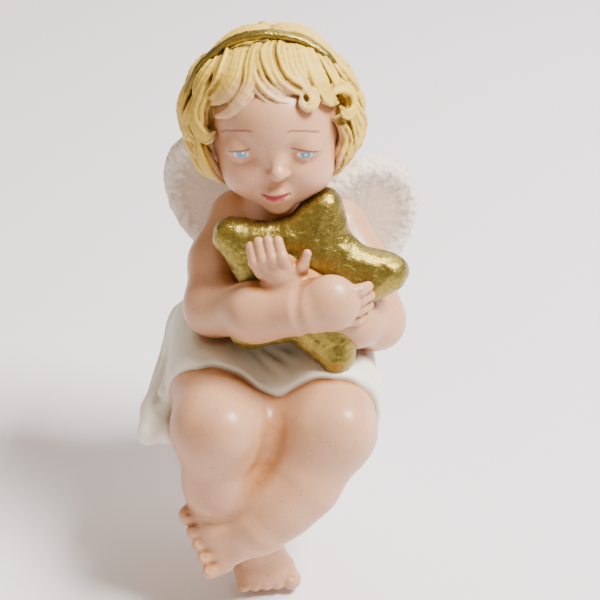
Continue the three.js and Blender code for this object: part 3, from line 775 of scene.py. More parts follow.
# %% Crown and back
for hand in (-1, 1):
    for i in range(7):
        end = 98 + 13 * i
        lock([(hand * (180 - (180 - end) * 0.15), 82 - 3 * i), (hand * (end + (180 - end) * 0.5), 74 - 2 * i),
              (hand * (end + (180 - end) * 0.16), 60), (hand * end, 44), (hand * (end - 4), 28)],
             5.4, high=1.1 - 0.08 * i, low=-1)
for tier, (top, count) in enumerate(((42, 14), (20, 14), (-2, 14), (-22, 12))):
    curl = 6 if tier % 2 else -6
    for i in range(count):
        turn = 96 + 168 * i / (count - 1)
        lock([(turn, top), (turn + curl, top - 9), (turn - curl * 0.5, top - 18),
              (turn + curl * 0.8, top - 25), (turn + curl * 1.5, top - 27)],
             5.8, high=1 - 0.1 * tier, low=-0.8)
print(f"{len(strands)} strands in all")

# %% [markdown]
# Hundreds of strands make thousands of short bars. Each point of the skin is near only a few of them,
# so space is divided into small cells and each cell keeps a list of the bars that can reach it.

# %% All the strands as one form
CELL = 4


def sheaf(lines, fill):
    """Many lines of bars as one form. Each line is its points and their radii."""
    a = np.concatenate([points[:-1] for points, radii in lines])
    run = np.concatenate([points[1:] - points[:-1] for points, radii in lines])
    start = np.concatenate([radii[:-1] for points, radii in lines])
    taper = np.concatenate([radii[1:] - radii[:-1] for points, radii in lines])
    square = (run**2).sum(1)
    reach = np.sqrt(square) / 2 + start + np.abs(taper)
    bars_near = {}

    def near(cell):
        if cell not in bars_near:
            gap = np.linalg.norm(a + run / 2 - (np.array(cell) + 0.5) * CELL, axis=1) - reach
            bars_near[cell] = np.flatnonzero(gap < CELL * 0.87 + 2.5)
        return bars_near[cell]

    def distance(points):
        cells, owner = np.unique(np.floor(points / CELL).astype(int), axis=0, return_inverse=True)
        owner = owner.ravel()
        order = np.argsort(owner, kind="stable")
        starts = np.searchsorted(owner[order], np.arange(len(cells) + 1))
        total = np.full(len(points), 8.0)
        for i, cell in enumerate(map(tuple, cells)):
            bars = near(cell)
            if len(bars) == 0:
                continue
            mine = order[starts[i] : starts[i + 1]]
            away = points[mine][:, None] - a[bars]
            share = np.clip((away * run[bars]).sum(2) / square[bars], 0, 1)
            gap = np.linalg.norm(away - share[..., None] * run[bars], axis=2)
            gap -= start[bars] + taper[bars] * share
            least = gap.min(1)
            total[mine] = least - fill * np.log(np.exp((least[:, None] - gap) / fill).sum(1))
        return total

    return form(HAIR_CENTRE, 34, distance, lambda mesh: None)


def curve_of(name, lines):
    """The same lines as a curve with a round bevel, made a mesh."""
    curve = bpy.data.curves.new(name, "CURVE")
    curve.dimensions = "3D"
    curve.bevel_depth = MM
    curve.bevel_resolution = 1
    curve.use_fill_caps = True
    for points, radii in lines:
        spline = curve.splines.new("POLY")
        spline.points.add(len(points) - 1)
        spline.points.foreach_set("co", np.c_[points * MM, np.ones(len(points))].ravel())
        spline.points.foreach_set("radius", radii)
    draft = bpy.data.objects.new(name, curve)
    mesh = bpy.data.meshes.new_from_object(draft)
    bpy.data.objects.remove(draft)
    return mesh


# %% Hair skin
HAIR_GRAIN = 0.405  # fine enough for the strands, and under 200,000 triangles
TINT_REACH = 3  # how far from the skin the pink of the face runs into the hair
cap_clay = ball(at(-0.5, 6.2, 3.3), (21.4, 18.4, 20.2))
hair_clay = blend(0.6, cap_clay, sheaf(strands, 0.06))
draft = bmesh.new()
cap_clay["lay"](draft)
bmesh.ops.scale(draft, verts=draft.verts, vec=(MM, MM, MM))
draft.from_mesh(curve_of("strands", strands))
bmesh.ops.scale(draft, verts=draft.verts, vec=(1 / MM, 1 / MM, 1 / MM))
hair = new_piece("hair_cast", draft)
fuse(hair, HAIR_GRAIN)
settle(hair, hair_clay["distance"], passes=2)
wash_and_shade_depth(hair, hair_clay["distance"], steps=(0.4, 0.8, 1.4), rounds=1)
near_face = np.clip(1.3 - head_clay["distance"](points_of(hair)) / TINT_REACH, 0, 1)
paint_value(hair, "near_face", spread(near_face, edges_of(hair), 12))

# %% [markdown]
# ## Headband
#
# A narrow gold band from ear to ear. It was rolled as a soft strip, so it is a little thicker in some
# places. A circle of points is squeezed to the strip's section, and swept round with the spin operator.

# %% Headband
band_low, band_high = (np.array(corner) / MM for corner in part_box("headband"))
BAND_MIDDLE = (band_low + band_high) / 2
BAND_THICKNESS = 2.5
BAND_WIDTH = 3.2
BAND_SQUEEZE = 0.955  # it sinks into the hair at the sides
band_radius = (band_high[0] - band_low[0]) / 2 - BAND_THICKNESS / 2
band_axle = Vector((BAND_MIDDLE[0], BAND_MIDDLE[1], band_high[2] - BAND_THICKNESS / 2 - band_radius))
BAND_END = math.radians(26)  # how far below the horizontal each end goes
draft = bmesh.new()
circle = bmesh.ops.create_circle(draft, cap_ends=True, segments=20, radius=0.5)["verts"]
bmesh.ops.scale(draft, verts=circle, vec=(BAND_THICKNESS, BAND_WIDTH, 1))
bmesh.ops.rotate(draft, verts=circle, cent=(0, 0, 0), matrix=Matrix.Rotation(math.radians(180), 3, "X"))
bmesh.ops.translate(draft, verts=circle, vec=band_axle + Vector((band_radius, 0, 0)))
bmesh.ops.rotate(draft, verts=circle, cent=band_axle, matrix=Matrix.Rotation(BAND_END, 3, "Y"))
bmesh.ops.spin(draft, geom=draft.faces[:] + draft.edges[:] + draft.verts[:], cent=band_axle,
               axis=(0, -1, 0), angle=math.pi + 2 * BAND_END, steps=150)
bmesh.ops.holes_fill(draft, edges=[e for e in draft.edges if e.is_boundary])
bmesh.ops.recalc_face_normals(draft, faces=draft.faces)
for vertex in draft.verts:
    lump = noise.noise(vertex.co * 0.22) * 0.35 + noise.noise(vertex.co * 0.7) * 0.14
    vertex.co += (vertex.co - band_axle).normalized() * lump
    vertex.co.y += noise.noise(vertex.co * 0.15 + Vector((9, 0, 0))) * 0.5
bmesh.ops.scale(draft, verts=draft.verts, vec=(BAND_SQUEEZE, 1, 1),
                space=Matrix.Translation(-band_axle))
headband = new_piece("headband_cast", draft)
headband.data.polygons.foreach_set("use_smooth", np.ones(len(headband.data.polygons), bool))
print(f"the band has a radius of {band_radius:.1f} mm")

# %% [markdown]
# ## Star
#
# A puffy five-pointed star like a small cushion, with a flat face and a round edge. Each arm is a kite
# from the middle to its tip. In the plane of the star the kites are blended, and the distance to them
# is then wrapped round a core that is thickest at the middle.


# %% Star
def outline_distance(corners, flat):
    """How far points in a plane lie from a closed outline. It is negative inside."""
    least = np.full(len(flat), 1e3)
    inside = np.zeros(len(flat), bool)
    for a, b in zip(corners, np.roll(corners, -1, axis=0)):
        run = b - a
        away = flat - a
        along = np.clip(away @ run / (run @ run), 0, 1)
        least = np.minimum(least, np.linalg.norm(away - along[:, None] * run, axis=1))
        straddles = (away[:, 1] < 0) != (flat[:, 1] < b[1])
        inside ^= straddles & ((away[:, 0] * run[1] < away[:, 1] * run[0]) == (run[1] > 0))
    return np.where(inside, -least, least)


def cushion(centre, across, up, outlines, edge, core):
    """Flat shapes blended to one with a round edge of this radius, wrapped round a core."""
    front = np.cross(across, up)

    def distance(points):
        local = points - centre
        flat = local @ np.stack([across, up], 1)
        beside = np.full(len(points), 1e3)
        for corners in outlines:
            beside = smooth_least(beside, outline_distance(corners, flat), 5)
        above = np.abs(local @ front) - core - 0.16 * np.clip(-beside, 0, 9)
        outside = np.hypot(np.maximum(beside, 0), np.maximum(above, 0))
        return outside + np.minimum(np.maximum(beside, above), 0) - edge

    def lay(mesh):
        bmesh.ops.create_uvsphere(mesh, u_segments=16, v_segments=8, radius=edge + core,
                                  matrix=Matrix.Translation(Vector(centre)))
        for corners in outlines:
            grown = corners * (1 + edge / np.linalg.norm(corners, axis=1).max())
            flat = [centre + across * u + up * v for u, v in grown]
            both = [mesh.verts.new(place + front * deep) for place in flat for deep in (-edge, edge)]
            bmesh.ops.convex_hull(mesh, input=both)

    return form(centre, 34, distance, lay)


def in_star(turn, length):
    """A point in the plane of the star, by degrees from its upright and mm from its middle."""
    return np.array([math.sin(math.radians(turn)), math.cos(math.radians(turn))]) * length


STAR = spot("star", 0.469, 0.505, 0.509)
STAR_LEAN = math.radians(20)
STAR_EDGE = 5  # the radius of its round edge
star_across = np.array([1, 0, 0])
star_up = np.array([0, math.sin(STAR_LEAN), math.cos(STAR_LEAN)])
STAR_TIPS = [(14, 21.2), (82, 22.8), (156, 21.2), (229, 19.6), (304, 23.2)]
STAR_DIPS = [(48, 10.8), (116, 10.4), (194, 9.6), (266, 10.6), (338, 11.8)]
kites = [np.array([in_star(*STAR_DIPS[i - 1]), in_star(*STAR_TIPS[i]), in_star(*STAR_DIPS[i]),
                   in_star(STAR_TIPS[i][0], -2)]) for i in range(5)]
star_clay = cushion(STAR, star_across, star_up, kites, STAR_EDGE, 0.4)
star = mould("star_cast", star_clay, 0.42)
star_skin = points_of(star)
dents = [noise.noise(Vector(p) * 0.24) * 0.5 + noise.noise(Vector(p) * 0.7) * 0.16 for p in star_skin]
move_points(star, star_skin + normals_of(star) * np.array(dents)[:, None])

# %% [markdown]
# ## Drape
#
# A cloth wrapped round the hips and laid over both thighs. In resin it is solid, with a rolled hem
# that stands proud of the skin. Folds are ropes of clay smoothed down, and the hem is where a wavy
# cutter ends the cloth. It is flat below, where the figure sits.


# %% Hem and seat
HEM_FRONT = -41.6  # how far forward the hem reaches, over the left thigh
HEM_TURN = 8  # the place across where it does, and from where it runs back to both sides
HEM_CURVE = 0.0074


def hem(points):
    """How far in front of the hem line each point lies."""
    x, y, z = points.T
    wave = 0.5 * np.sin(x * 0.31 + z * 0.2) + 0.16 * np.sin(x * 0.9 + 2)
    line = HEM_FRONT + HEM_CURVE * (x - HEM_TURN) ** 2 + wave
    return line - y


hem_cutter = form(STAR, 1e3, lambda points: -hem(points), lambda mesh: None)
below = form(STAR, 1e3, lambda points: points[:, 2], lambda mesh: None)

# %% Drape
RIGHT_LAP, LEFT_LAP = between(RIGHT_HIP, RIGHT_KNEE, 0.84), between(LEFT_HIP, LEFT_KNEE, 0.86)
folds = [
    bar([-23, -2, 23.4], [-32.4, -27, 6], 1.8, 2.6),
    bar([-27, 5, 17], [-31.4, -10, 4], 1.8, 3),
    bar([-20, -10, 26.6], [-29.4, -30, 13], 1.2, 1.4),
    bar([-9, -22, 26], [9, -39, 21.6], 1.2, 1.4),
    bar([-5, -20, 24.6], [15, -39, 24.4], 1, 1.2),
    bar([-13, -24, 29.4], [3, -40, 19.6], 1, 1.3),
]
back_folds = [
    bar([20, -14, 27], [27.6, -34, 18], 1.2, 1.6),
    bar([26, 0, 19], [29.6, -16, 6], 1.6, 2.4),
    bar([-16, 11.6, 21], [-11, 19.6, 4], 1.4, 2.2),
    bar([2, 16, 21], [6, 20.6, 4], 1.4, 2.2),
    bar([15, 12.4, 21], [21, 15.4, 4], 1.4, 2.2),
]
cloth_clay = blend(
    2.6,
    blend(6, ball([-1, 3, 12.6], (30, 19.4, 14)), ball([-1, 4, 5], (30.6, 19, 8))),
    bar(RIGHT_HIP, RIGHT_LAP, 15.4, 15.2),
    bar(LEFT_HIP, LEFT_LAP, 15.4, 14.9),
    bar([-22, -6, 10], [-25, -31, 6], 9, 6.4),
    bar([22, -4, 10], [24, -28, 8], 8, 6.2),
    ball([1, -31, 14.6], (15, 16, 9.4)),
    ball([1, -15, 18], (20, 15, 12.6)),
    *back_folds,
)
tail = blend(2, chain(2, ([-29.4, -14, 6.4], 4.6), ([-32, -28, 4.6], 3.8), ([-33.2, -36, 3.4], 3.3)),
             chain(2, ([-25, -18, 7], 5), ([-26, -30, 5], 5), ([-28, -35, 4.4], 4.4)))
drape_clay = blend(1.5, cloth_clay, *folds)
drape_clay = pressed(0.8, blend(2.4, pressed(1.2, drape_clay, hem_cutter), tail), below)
draft = bmesh.new()
drape_clay["lay"](draft)
for point, direction in (([0, HEM_FRONT - 0.4, 0], (0, -1, 0)), ([0, 0, 0], (0, 0, -1))):
    cut = bmesh.ops.bisect_plane(draft, geom=draft.faces[:] + draft.edges[:] + draft.verts[:],
                                 plane_co=point, plane_no=direction, clear_outer=True)
    bmesh.ops.holes_fill(draft, edges=[e for e in cut["geom_cut"] if isinstance(e, bmesh.types.BMEdge)])
drape = new_piece("drape_cast", draft)
fuse(drape, 0.5)
settle(drape, drape_clay["distance"], passes=6)

# %% [markdown]
# ## Wings
#
# Two stubby wings with a fluffy raised rim and a hollowed, softly grooved face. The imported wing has
# the right outline, so a copy of it is fused to small squares, smoothed, and then worked like clay.


# %% Wings
RIM_PLACE, RIM_WIDTH = 0.86, 0.16  # as shares of the way from the middle to the outline
RIM_HEIGHT, HOLLOW_DEPTH, GROOVE = 0.5, 0.9, 0.2
FEATHERS = 9


def wing(node, seed):
    source = bpy.data.objects[node]
    draft = bmesh.new()
    draft.from_mesh(source.data)
    bmesh.ops.remove_doubles(draft, verts=draft.verts, dist=1e-6)
    bmesh.ops.scale(draft, verts=draft.verts, vec=(1 / MM, 1 / MM, 1 / MM))
    piece = new_piece(node + "_cast", draft)
    fuse(piece, 0.5)
    edges = edges_of(piece)
    points = spread(points_of(piece), edges, 14)
    move_points(piece, points)
    middle = points.mean(0)
    thin, short, long = np.linalg.svd((points - middle)[::7], full_matrices=False)[2][::-1]
    u, v, w = (points - middle) @ long, (points - middle) @ short, (points - middle) @ thin
    across = np.sqrt((u / np.abs(u).max()) ** 2 + (v / np.abs(v).max()) ** 2)
    rim = np.exp(-(((across - RIM_PLACE) / RIM_WIDTH) ** 2))
    turn = np.arctan2(v, u)
    feather = np.abs(np.sin(turn * FEATHERS + across * 2.2)) * np.clip(across * 1.6, 0, 1)
    fluff = np.array([noise.noise(Vector(p) * 0.62 + Vector((seed, 0, 0))) for p in points])
    fine = np.array([noise.noise(Vector(p) * 1.5 + Vector((0, seed, 0))) for p in points])
    face = np.clip(np.abs(w) / 2 - 0.4, 0, 1)
    rise = rim * (RIM_HEIGHT + 0.5 * fluff + 0.2 * fine) - HOLLOW_DEPTH * (1 - rim) * face
    rise += GROOVE * feather * (1 - rim)
    move_points(piece, points + normals_of(piece) * (rise + 0.1 * fine)[:, None])
    # how much pinkish grey: more away from the raised rim and in the feather grooves, less in random patches
    grey_off_rim = 0.75 - rim - 0.5 * fluff + 0.3 * (1 - feather) - 0.5 * fine
    paint_value(piece, "crease", np.clip(grey_off_rim, 0, 1))
    print(f"{node}: {len(points)} points")
    return piece


wings = [wing("right_wing", 3), wing("left_wing", 8)]

# %% [markdown]
# Parting gives every face of a shared skin to the form that it lies nearest to. The cut edges are
# closed with a cap, so each piece stays a solid casting, and the cap's rim is marked sharp, so that
# the skin on both sides of the seam is shaded as one.

# %% Crease depth for the washes and the painted shade, measured with all the neighbours there
wash_and_shade_depth(star, blend(0.4, upper_clay, star_clay, head_clay)["distance"], steps=(0.6, 1.4, 2.6))
wash_and_shade_depth(upper_skin, blend(0.4, upper_clay, star_clay, drape_clay, head_clay)["distance"])
wash_and_shade_depth(legs_skin, blend(0.4, legs_clay, drape_clay)["distance"])
wash_and_shade_depth(drape, blend(0.4, drape_clay, legs_clay, upper_clay)["distance"])
wash_and_shade_depth(head, blend(0.4, head_clay, hair_clay)["distance"])
wash_and_shade_depth(headband, hair_clay["distance"], steps=(0.6, 1.2))


# %% Part a skin into its castings
def part(skin, clays):
    """Splits a skin into one closed piece for each name in clays, then removes the skin."""
    names = list(clays)
    points = points_of(skin)
    owner = np.argmin([clays[name]["distance"](points) for name in names], axis=0)
    pieces = {}
    for number, name in enumerate(names):
        mesh = bmesh.new()
        mesh.from_mesh(skin.data)
        others = [face for face in mesh.faces if min(owner[v.index] for v in face.verts) != number]
        bmesh.ops.delete(mesh, geom=others, context="FACES")
        rim = [edge for edge in mesh.edges if edge.is_boundary]
        for edge in rim:
            edge.smooth = False
        caps = bmesh.ops.holes_fill(mesh, edges=rim)["faces"]
        bmesh.ops.triangulate(mesh, faces=caps)
        bmesh.ops.scale(mesh, verts=mesh.verts, vec=(1 / MM, 1 / MM, 1 / MM))
        pieces[name] = new_piece(name + "_cast", mesh)
        print(f"{name}: {len(pieces[name].data.polygons)} faces, {len(rim)} rim edges capped")
    bpy.data.objects.remove(skin)
    return pieces


castings = part(legs_skin, {"right_leg": right_leg_clay, "left_leg": left_leg_clay})
castings |= part(upper_skin, {"torso": torso_clay, "right_arm": right_arm_clay,
                              "left_arm": left_arm_clay})
castings |= {"head": head, "hair": hair, "headband": headband, "star": star, "drape": drape,
             "right_wing": wings[0], "left_wing": wings[1]}

# %% [markdown]
# ## Finishes
#
# Every casting is painted by hand with matt and satin acrylics, then an orange-brown wash is wiped
# over the skin and an ochre one over the hair, so that they stay in the creases. The colours in the
# creases stand for that wash and also for painted shade, so they are darkest in deep folds and where
# pieces meet. The gold is a paint with coarse brass powder. Colours are given as the hex values that
# a painter would match.


# %% Colours and nodes
def colour(code):
    """An sRGB hex value as a linear colour."""
    shares = [int(code[i : i + 2], 16) / 255 for i in (1, 3, 5)]
    return (*[s / 12.92 if s <= 0.04045 else ((s + 0.055) / 1.055) ** 2.4 for s in shares], 1)


def add(tree, kind, links=None, **settings):
    """Adds a node. links gives a value or another node's output for each input."""
    node = tree.nodes.new(kind)
    for name, value in settings.items():
        setattr(node, name, value)
    for name, value in (links or {}).items():
        if isinstance(value, bpy.types.NodeSocket):
            tree.links.new(value, node.inputs[name])
        else:
            node.inputs[name].default_value = value
    return node


def finish(name, links):
    """A material with one Principled shader, the tree for its patterns, and where a point lies."""
    material = bpy.data.materials.new(name)
    material.use_nodes = True
    tree = material.node_tree
    tree.nodes.clear()
    shader = add(tree, "ShaderNodeBsdfPrincipled", links)
    add(tree, "ShaderNodeOutputMaterial", {"Surface": shader.outputs[0]})
    return material, tree, shader, add(tree, "ShaderNodeTexCoord").outputs["Object"]


def per(size):
    """The scale of a pattern whose features are this many mm across."""
    return 1 / (size * MM)


# %% What most of the finishes share
def cloudy(tree, place, size, detail, first, second):
    """A coat of two colours, in clouds of this many mm."""
    clouds = add(tree, "ShaderNodeTexNoise", {"Vector": place, "Scale": per(size), "Detail": detail})
    coat = add(tree, "ShaderNodeMix", {0: clouds.outputs[0], 6: colour(first), 7: colour(second)},
               data_type="RGBA")
    return coat.outputs[2]


def wiped(tree, coat, attribute, *washes_and_shades):
    """A coat with layers of colour over it, each from where the stored value is start to where it is full.
    Layers laid by crease depth are painted shade as well as paint.
    """
    stored = add(tree, "ShaderNodeAttribute", attribute_name=attribute)
    for start, full, strength, code in washes_and_shades:
        amount = add(tree, "ShaderNodeMapRange", {0: stored.outputs["Fac"], 1: start, 2: full, 3: 0,
                                                  4: strength}, interpolation_type="SMOOTHSTEP")
        coat = add(tree, "ShaderNodeMix", {0: amount.outputs[0], 6: coat, 7: colour(code)},
                   data_type="RGBA").outputs[2]
    return coat


def rough_coat(tree, shader, coat, height, depth, strength):
    """Puts a coat on the shader, with brush marks of this depth in mm."""
    tree.links.new(coat, shader.inputs["Base Color"])
    bump = add(tree, "ShaderNodeBump", {"Height": height, "Distance": depth * MM, "Strength": strength})
    tree.links.new(bump.outputs[0], shader.inputs["Normal"])


def broken_gloss(tree, shader, pattern, low, high):
    """Lets a pattern vary the roughness."""
    gloss = add(tree, "ShaderNodeMapRange", {0: pattern, 1: 0.3, 2: 0.7, 3: low, 4: high})
    tree.links.new(gloss.outputs[0], shader.inputs["Roughness"])


# %% [markdown]
# The skin is a satin acrylic in pale peach. The sprayed coat is cloudy, it carries specks of a darker
# red-brown where the spray gun spat, and the orange-brown in the folds is partly the wash and partly
# painted shade, darkest where the skin meets other pieces.


# %% Skin
# the two crease colours are both the orange-brown wash and painted shade in the creases
SKIN_PALE, SKIN_WARM, SKIN_WASH_AND_SHADE = "#D3A482", "#BD8A64", "#A2662E"
SKIN_DEEP_WASH_AND_SHADE, SKIN_SPECK = "#7E4218", "#8A4028"


def skin_coat(tree, place, strength):
    """The colour of the painted skin, with its clouds and specks, and orange-brown in the creases of this
    strength, which is painted shade as well as the wipe of paint.
    """
    base = cloudy(tree, place, 11, 3, SKIN_WARM, SKIN_PALE)
    crease = add(tree, "ShaderNodeAttribute", attribute_name="crease")
    streaks = add(tree, "ShaderNodeTexNoise", {"Vector": place, "Scale": per(2.4), "Detail": 4})
    soft = add(tree, "ShaderNodeMapRange", {0: crease.outputs["Fac"], 1: 0.1, 2: 0.46, 3: 0, 4: strength},
               interpolation_type="SMOOTHSTEP")
    uneven = add(tree, "ShaderNodeMapRange", {0: streaks.outputs[0], 1: 0.3, 2: 0.7, 3: 0.7, 4: 1.1})
    amount = add(tree, "ShaderNodeMath", {0: soft.outputs[0], 1: uneven.outputs[0]},
                 operation="MULTIPLY", use_clamp=True)
    # painted shade with the wash: orange-brown in the creases, darker brown in the deepest, where the skin
    # meets the star, the drape, the hair and the other pieces
    wash_and_shade_mixed = add(tree, "ShaderNodeMix", {0: amount.outputs[0], 6: base, 7: colour(SKIN_WASH_AND_SHADE)},
                 data_type="RGBA")
    deep_wash_and_shade = wiped(tree, wash_and_shade_mixed.outputs[2], "crease", (0.45, 0.85, strength, SKIN_DEEP_WASH_AND_SHADE))
    cells = add(tree, "ShaderNodeTexVoronoi", {"Vector": place, "Scale": per(1.3)})
    dot = add(tree, "ShaderNodeMapRange", {0: cells.outputs["Distance"], 1: 0.08, 2: 0.18, 3: 1, 4: 0})
    chance = add(tree, "ShaderNodeSeparateColor", {0: cells.outputs["Color"]})
    few = add(tree, "ShaderNodeMapRange", {0: chance.outputs[0], 1: 0.3, 2: 1, 3: 0, 4: 0.85})
    specks = add(tree, "ShaderNodeMath", {0: dot.outputs[0], 1: few.outputs[0]}, operation="MULTIPLY")
    spotted = add(tree, "ShaderNodeMix", {0: specks.outputs[0], 6: deep_wash_and_shade, 7: colour(SKIN_SPECK)},
                  data_type="RGBA")
    return spotted.outputs[2]


def skin_surface(tree, shader, place, coat):
    """The faint orange-peel of a sprayed coat, and its uneven gloss."""
    peel = add(tree, "ShaderNodeTexNoise", {"Vector": place, "Scale": per(1.1), "Detail": 4}).outputs[0]
    rough_coat(tree, shader, coat, peel, 0.05, 0.5)
    broken_gloss(tree, shader, peel, 0.3, 0.42)


skin, tree, shader, place = finish("satin_skin_acrylic", {"IOR": 1.48})
skin_surface(tree, shader, place, skin_coat(tree, place, 0.9))
print("skin is mixed from", SKIN_PALE, "and", SKIN_WARM)

# %% [markdown]
# The face is the same skin with brush strokes on it. Each stroke is drawn where the stored distance to
# its path is less than half the brush's width.

# %% Painted face
face, tree, shader, place = finish("painted_face_acrylic", {"IOR": 1.48})
# a weaker wash and painted shade on the face, darkest under the hair
coat = skin_coat(tree, place, 0.3)
wobble = add(tree, "ShaderNodeTexNoise", {"Vector": place, "Scale": per(0.9), "Detail": 2})
BRUSHES = (  # the strokes, where each is full and where it ends in mm, its strength and its colour
    ("blush", 1.5, 7.5, 0.3, "#DE9C88"),
    ("lip", 0.4, 0.7, 0.95, "#AE3A46"),
    ("white", 0.6, 0.85, 0.7, "#EFEAE4"),
    ("iris", 0.84, 0.98, 0.95, "#4E92C8"),
    ("glint", 0.32, 0.46, 0.9, "#F2F6F8"),
    ("lid", 0.14, 0.44, 0.9, "#7A4A34"),
    ("brow", 0.12, 0.44, 0.9, "#8E5440"),
)
for name, inside, outside, strength, code in BRUSHES:
    stored = add(tree, "ShaderNodeAttribute", attribute_name=name)
    unsteady = add(tree, "ShaderNodeMath", {0: wobble.outputs[0], 1: 0.3, 2: stored.outputs["Fac"]},
                   operation="MULTIPLY_ADD")
    drawn = add(tree, "ShaderNodeMapRange", {0: unsteady.outputs[0], 1: inside + 0.15, 2: outside + 0.15,
                                             3: strength, 4: 0}, interpolation_type="SMOOTHSTEP")
    mixed = add(tree, "ShaderNodeMix", {0: drawn.outputs[0], 6: coat, 7: colour(code)}, data_type="RGBA")
    coat = mixed.outputs[2]
skin_surface(tree, shader, place, coat)
print(len(BRUSHES), "brushes for the face")

# %% [markdown]
# The hair is a cream acrylic, matt, with an ochre wash in the grooves that is also painted shade,
# darkest in the deepest grooves. Towards the face the painter let the pink of the skin run into it.

# %% Hair
hair_paint, tree, shader, place = finish("matt_hair_acrylic", {"IOR": 1.47, "Roughness": 0.52})
base = cloudy(tree, place, 7, 4, "#E4C551", "#CEA834")
pink = wiped(tree, base, "near_face", (0.2, 1, 0.6, "#DDB49C"))
# ochre wash and painted shade in the grooves between the strands
ochre_wash_and_shade = wiped(tree, pink, "crease", (0.06, 0.34, 0.9, "#9E7A1E"), (0.5, 0.8, 0.85, "#6E5220"))
comb = add(tree, "ShaderNodeTexNoise", {"Vector": place, "Scale": per(0.8), "Detail": 5})
rough_coat(tree, shader, ochre_wash_and_shade, comb.outputs[0], 0.12, 0.5)
print("hair has", len(tree.nodes), "nodes")

# %% [markdown]
# Gold paint is brass flakes in a clear binder. The flakes lie at all angles, so the metal is grainy
# and broken rather than mirror-like, and where it dried over the lumps of the clay it has cracked.

# %% Gold
gold, tree, shader, place = finish("brass_flake_paint", {"Metallic": 0.92})
patches = add(tree, "ShaderNodeTexNoise", {"Vector": place, "Scale": per(5), "Detail": 6, "Roughness": 0.65})
base = add(tree, "ShaderNodeMix", {0: patches.outputs[0], 6: colour("#72622C"), 7: colour("#A08E42")},
           data_type="RGBA")
flakes = add(tree, "ShaderNodeTexVoronoi", {"Vector": place, "Scale": per(0.45)})
glitter = add(tree, "ShaderNodeSeparateColor", {0: flakes.outputs["Color"]})
sparkle = add(tree, "ShaderNodeMapRange", {0: glitter.outputs[0], 1: 0.6, 2: 1, 3: 0, 4: 0.22})
bright = add(tree, "ShaderNodeMix", {0: sparkle.outputs[0], 6: base.outputs[2], 7: colour("#D8C85A")},
             data_type="RGBA")
# painted shade: the gold darkens in its dents and where the arms, the head and the hair lie against it
crease_shaded_gold = wiped(tree, bright.outputs[2], "crease", (0.15, 0.7, 0.85, "#4E3F14"))
grit = add(tree, "ShaderNodeTexNoise", {"Vector": place, "Scale": per(0.9), "Detail": 6, "Roughness": 0.7})
crackle = add(tree, "ShaderNodeTexVoronoi", {"Vector": place, "Scale": per(1.3)}, feature="DISTANCE_TO_EDGE")
cracks = add(tree, "ShaderNodeMapRange", {0: crackle.outputs[0], 1: 0, 2: 0.12, 3: -0.2, 4: 0})
height = add(tree, "ShaderNodeMath", {0: grit.outputs[0], 1: cracks.outputs[0]}, operation="ADD")
rough_coat(tree, shader, crease_shaded_gold, height.outputs[0], 0.24, 0.6)
broken_gloss(tree, shader, grit.outputs[0], 0.24, 0.38)
print("gold has", len(tree.nodes), "nodes")

# %% [markdown]
# The cloth is off-white, matt and brushed on thinly. A cool greenish grey in its hollows is painted
# shade, and a brown where the cloth meets the skin is painted shade together with the skin's wash
# along the hem.

# %% Cloth
cloth, tree, shader, place = finish("matt_white_acrylic", {"IOR": 1.47, "Roughness": 0.6})
base = cloudy(tree, place, 6, 5, "#E2DECB", "#F6F3EC")
# painted shade: greenish grey in the folds, and brown where the cloth meets the legs and the torso
shaded_folds_and_hem = wiped(tree, base, "crease", (0.1, 0.5, 0.8, "#B9B79E"), (0.5, 0.8, 0.8, "#A87A5C"))
brush_marks = add(tree, "ShaderNodeTexNoise", {"Vector": place, "Scale": per(1.2), "Detail": 5})
rough_coat(tree, shader, shaded_folds_and_hem, brush_marks.outputs[0], 0.12, 0.6)
print("cloth has", len(tree.nodes), "nodes")

# %% [markdown]
# The wings are the same white, dabbed on thickly at the rim, with a pinkish grey mixed in away from the
# raised rim and in the feather grooves, so they are darker on the hollowed face.

# %% Wings and dowels
plume, tree, shader, place = finish("dabbed_white_acrylic", {"IOR": 1.47, "Roughness": 0.66})
dabs = cloudy(tree, place, 3, 6, "#DECFBC", "#F0E8DE")
# pinkish grey, darker away from the raised rim and in the feather grooves
bare = wiped(tree, dabs, "crease", (0.15, 0.8, 0.75, "#BEA690"))
stipple = add(tree, "ShaderNodeTexNoise", {"Vector": place, "Scale": per(1.1), "Detail": 5})
rough_coat(tree, shader, bare, stipple.outputs[0], 0.16, 0.6)
steel, tree, shader, place = finish("drawn_steel_wire", {"Metallic": 1, "Base Color": colour("#A9ACAF")})
drawn = add(tree, "ShaderNodeTexNoise", {"Vector": place, "Scale": per(0.5), "Detail": 3})
broken_gloss(tree, shader, drawn.outputs[0], 0.25, 0.45)
print(len(bpy.data.materials), "materials with those of the packed model")

# %% [markdown]
# Each casting gets its finish, rides on the one body that the figure is, and stands for the imported
# node of the same name. The dowels are hidden inside, so the imported ones stay, in steel.

# %% Dress the castings
FINISHES = {
    "skin_paint": (skin, ["right_leg", "left_leg", "torso", "right_arm", "left_arm"]),
    "hair_paint": (hair_paint, ["hair"]),
    "gold_paint": (gold, ["star", "headband"]),
    "cloth_paint": (cloth, ["drape"]),
    "wing_paint": (plume, ["right_wing", "left_wing"]),
}
for slot, (material, names) in FINISHES.items():
    for name in names:
        castings[name].data.materials.append(material)
head.data.materials.append(face)
for name, piece in castings.items():
    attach(piece, "root")
    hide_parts(name)
for name in frame["nodes"]:
    if name.endswith("_peg"):
        dowel = bpy.data.objects[name].data
        dowel.materials.clear()
        dowel.materials.append(steel)
print(sum(len(piece.data.polygons) for piece in castings.values()), "faces in all")

# %% [markdown]
# ## Studio
#
# A pale grey table, a soft lamp above and to the right, a weak warm one on the left, and a room whose
# ceiling is bright and whose walls are pale low down and dim above. The dim part is what the gold
# reflects where it looks dark.

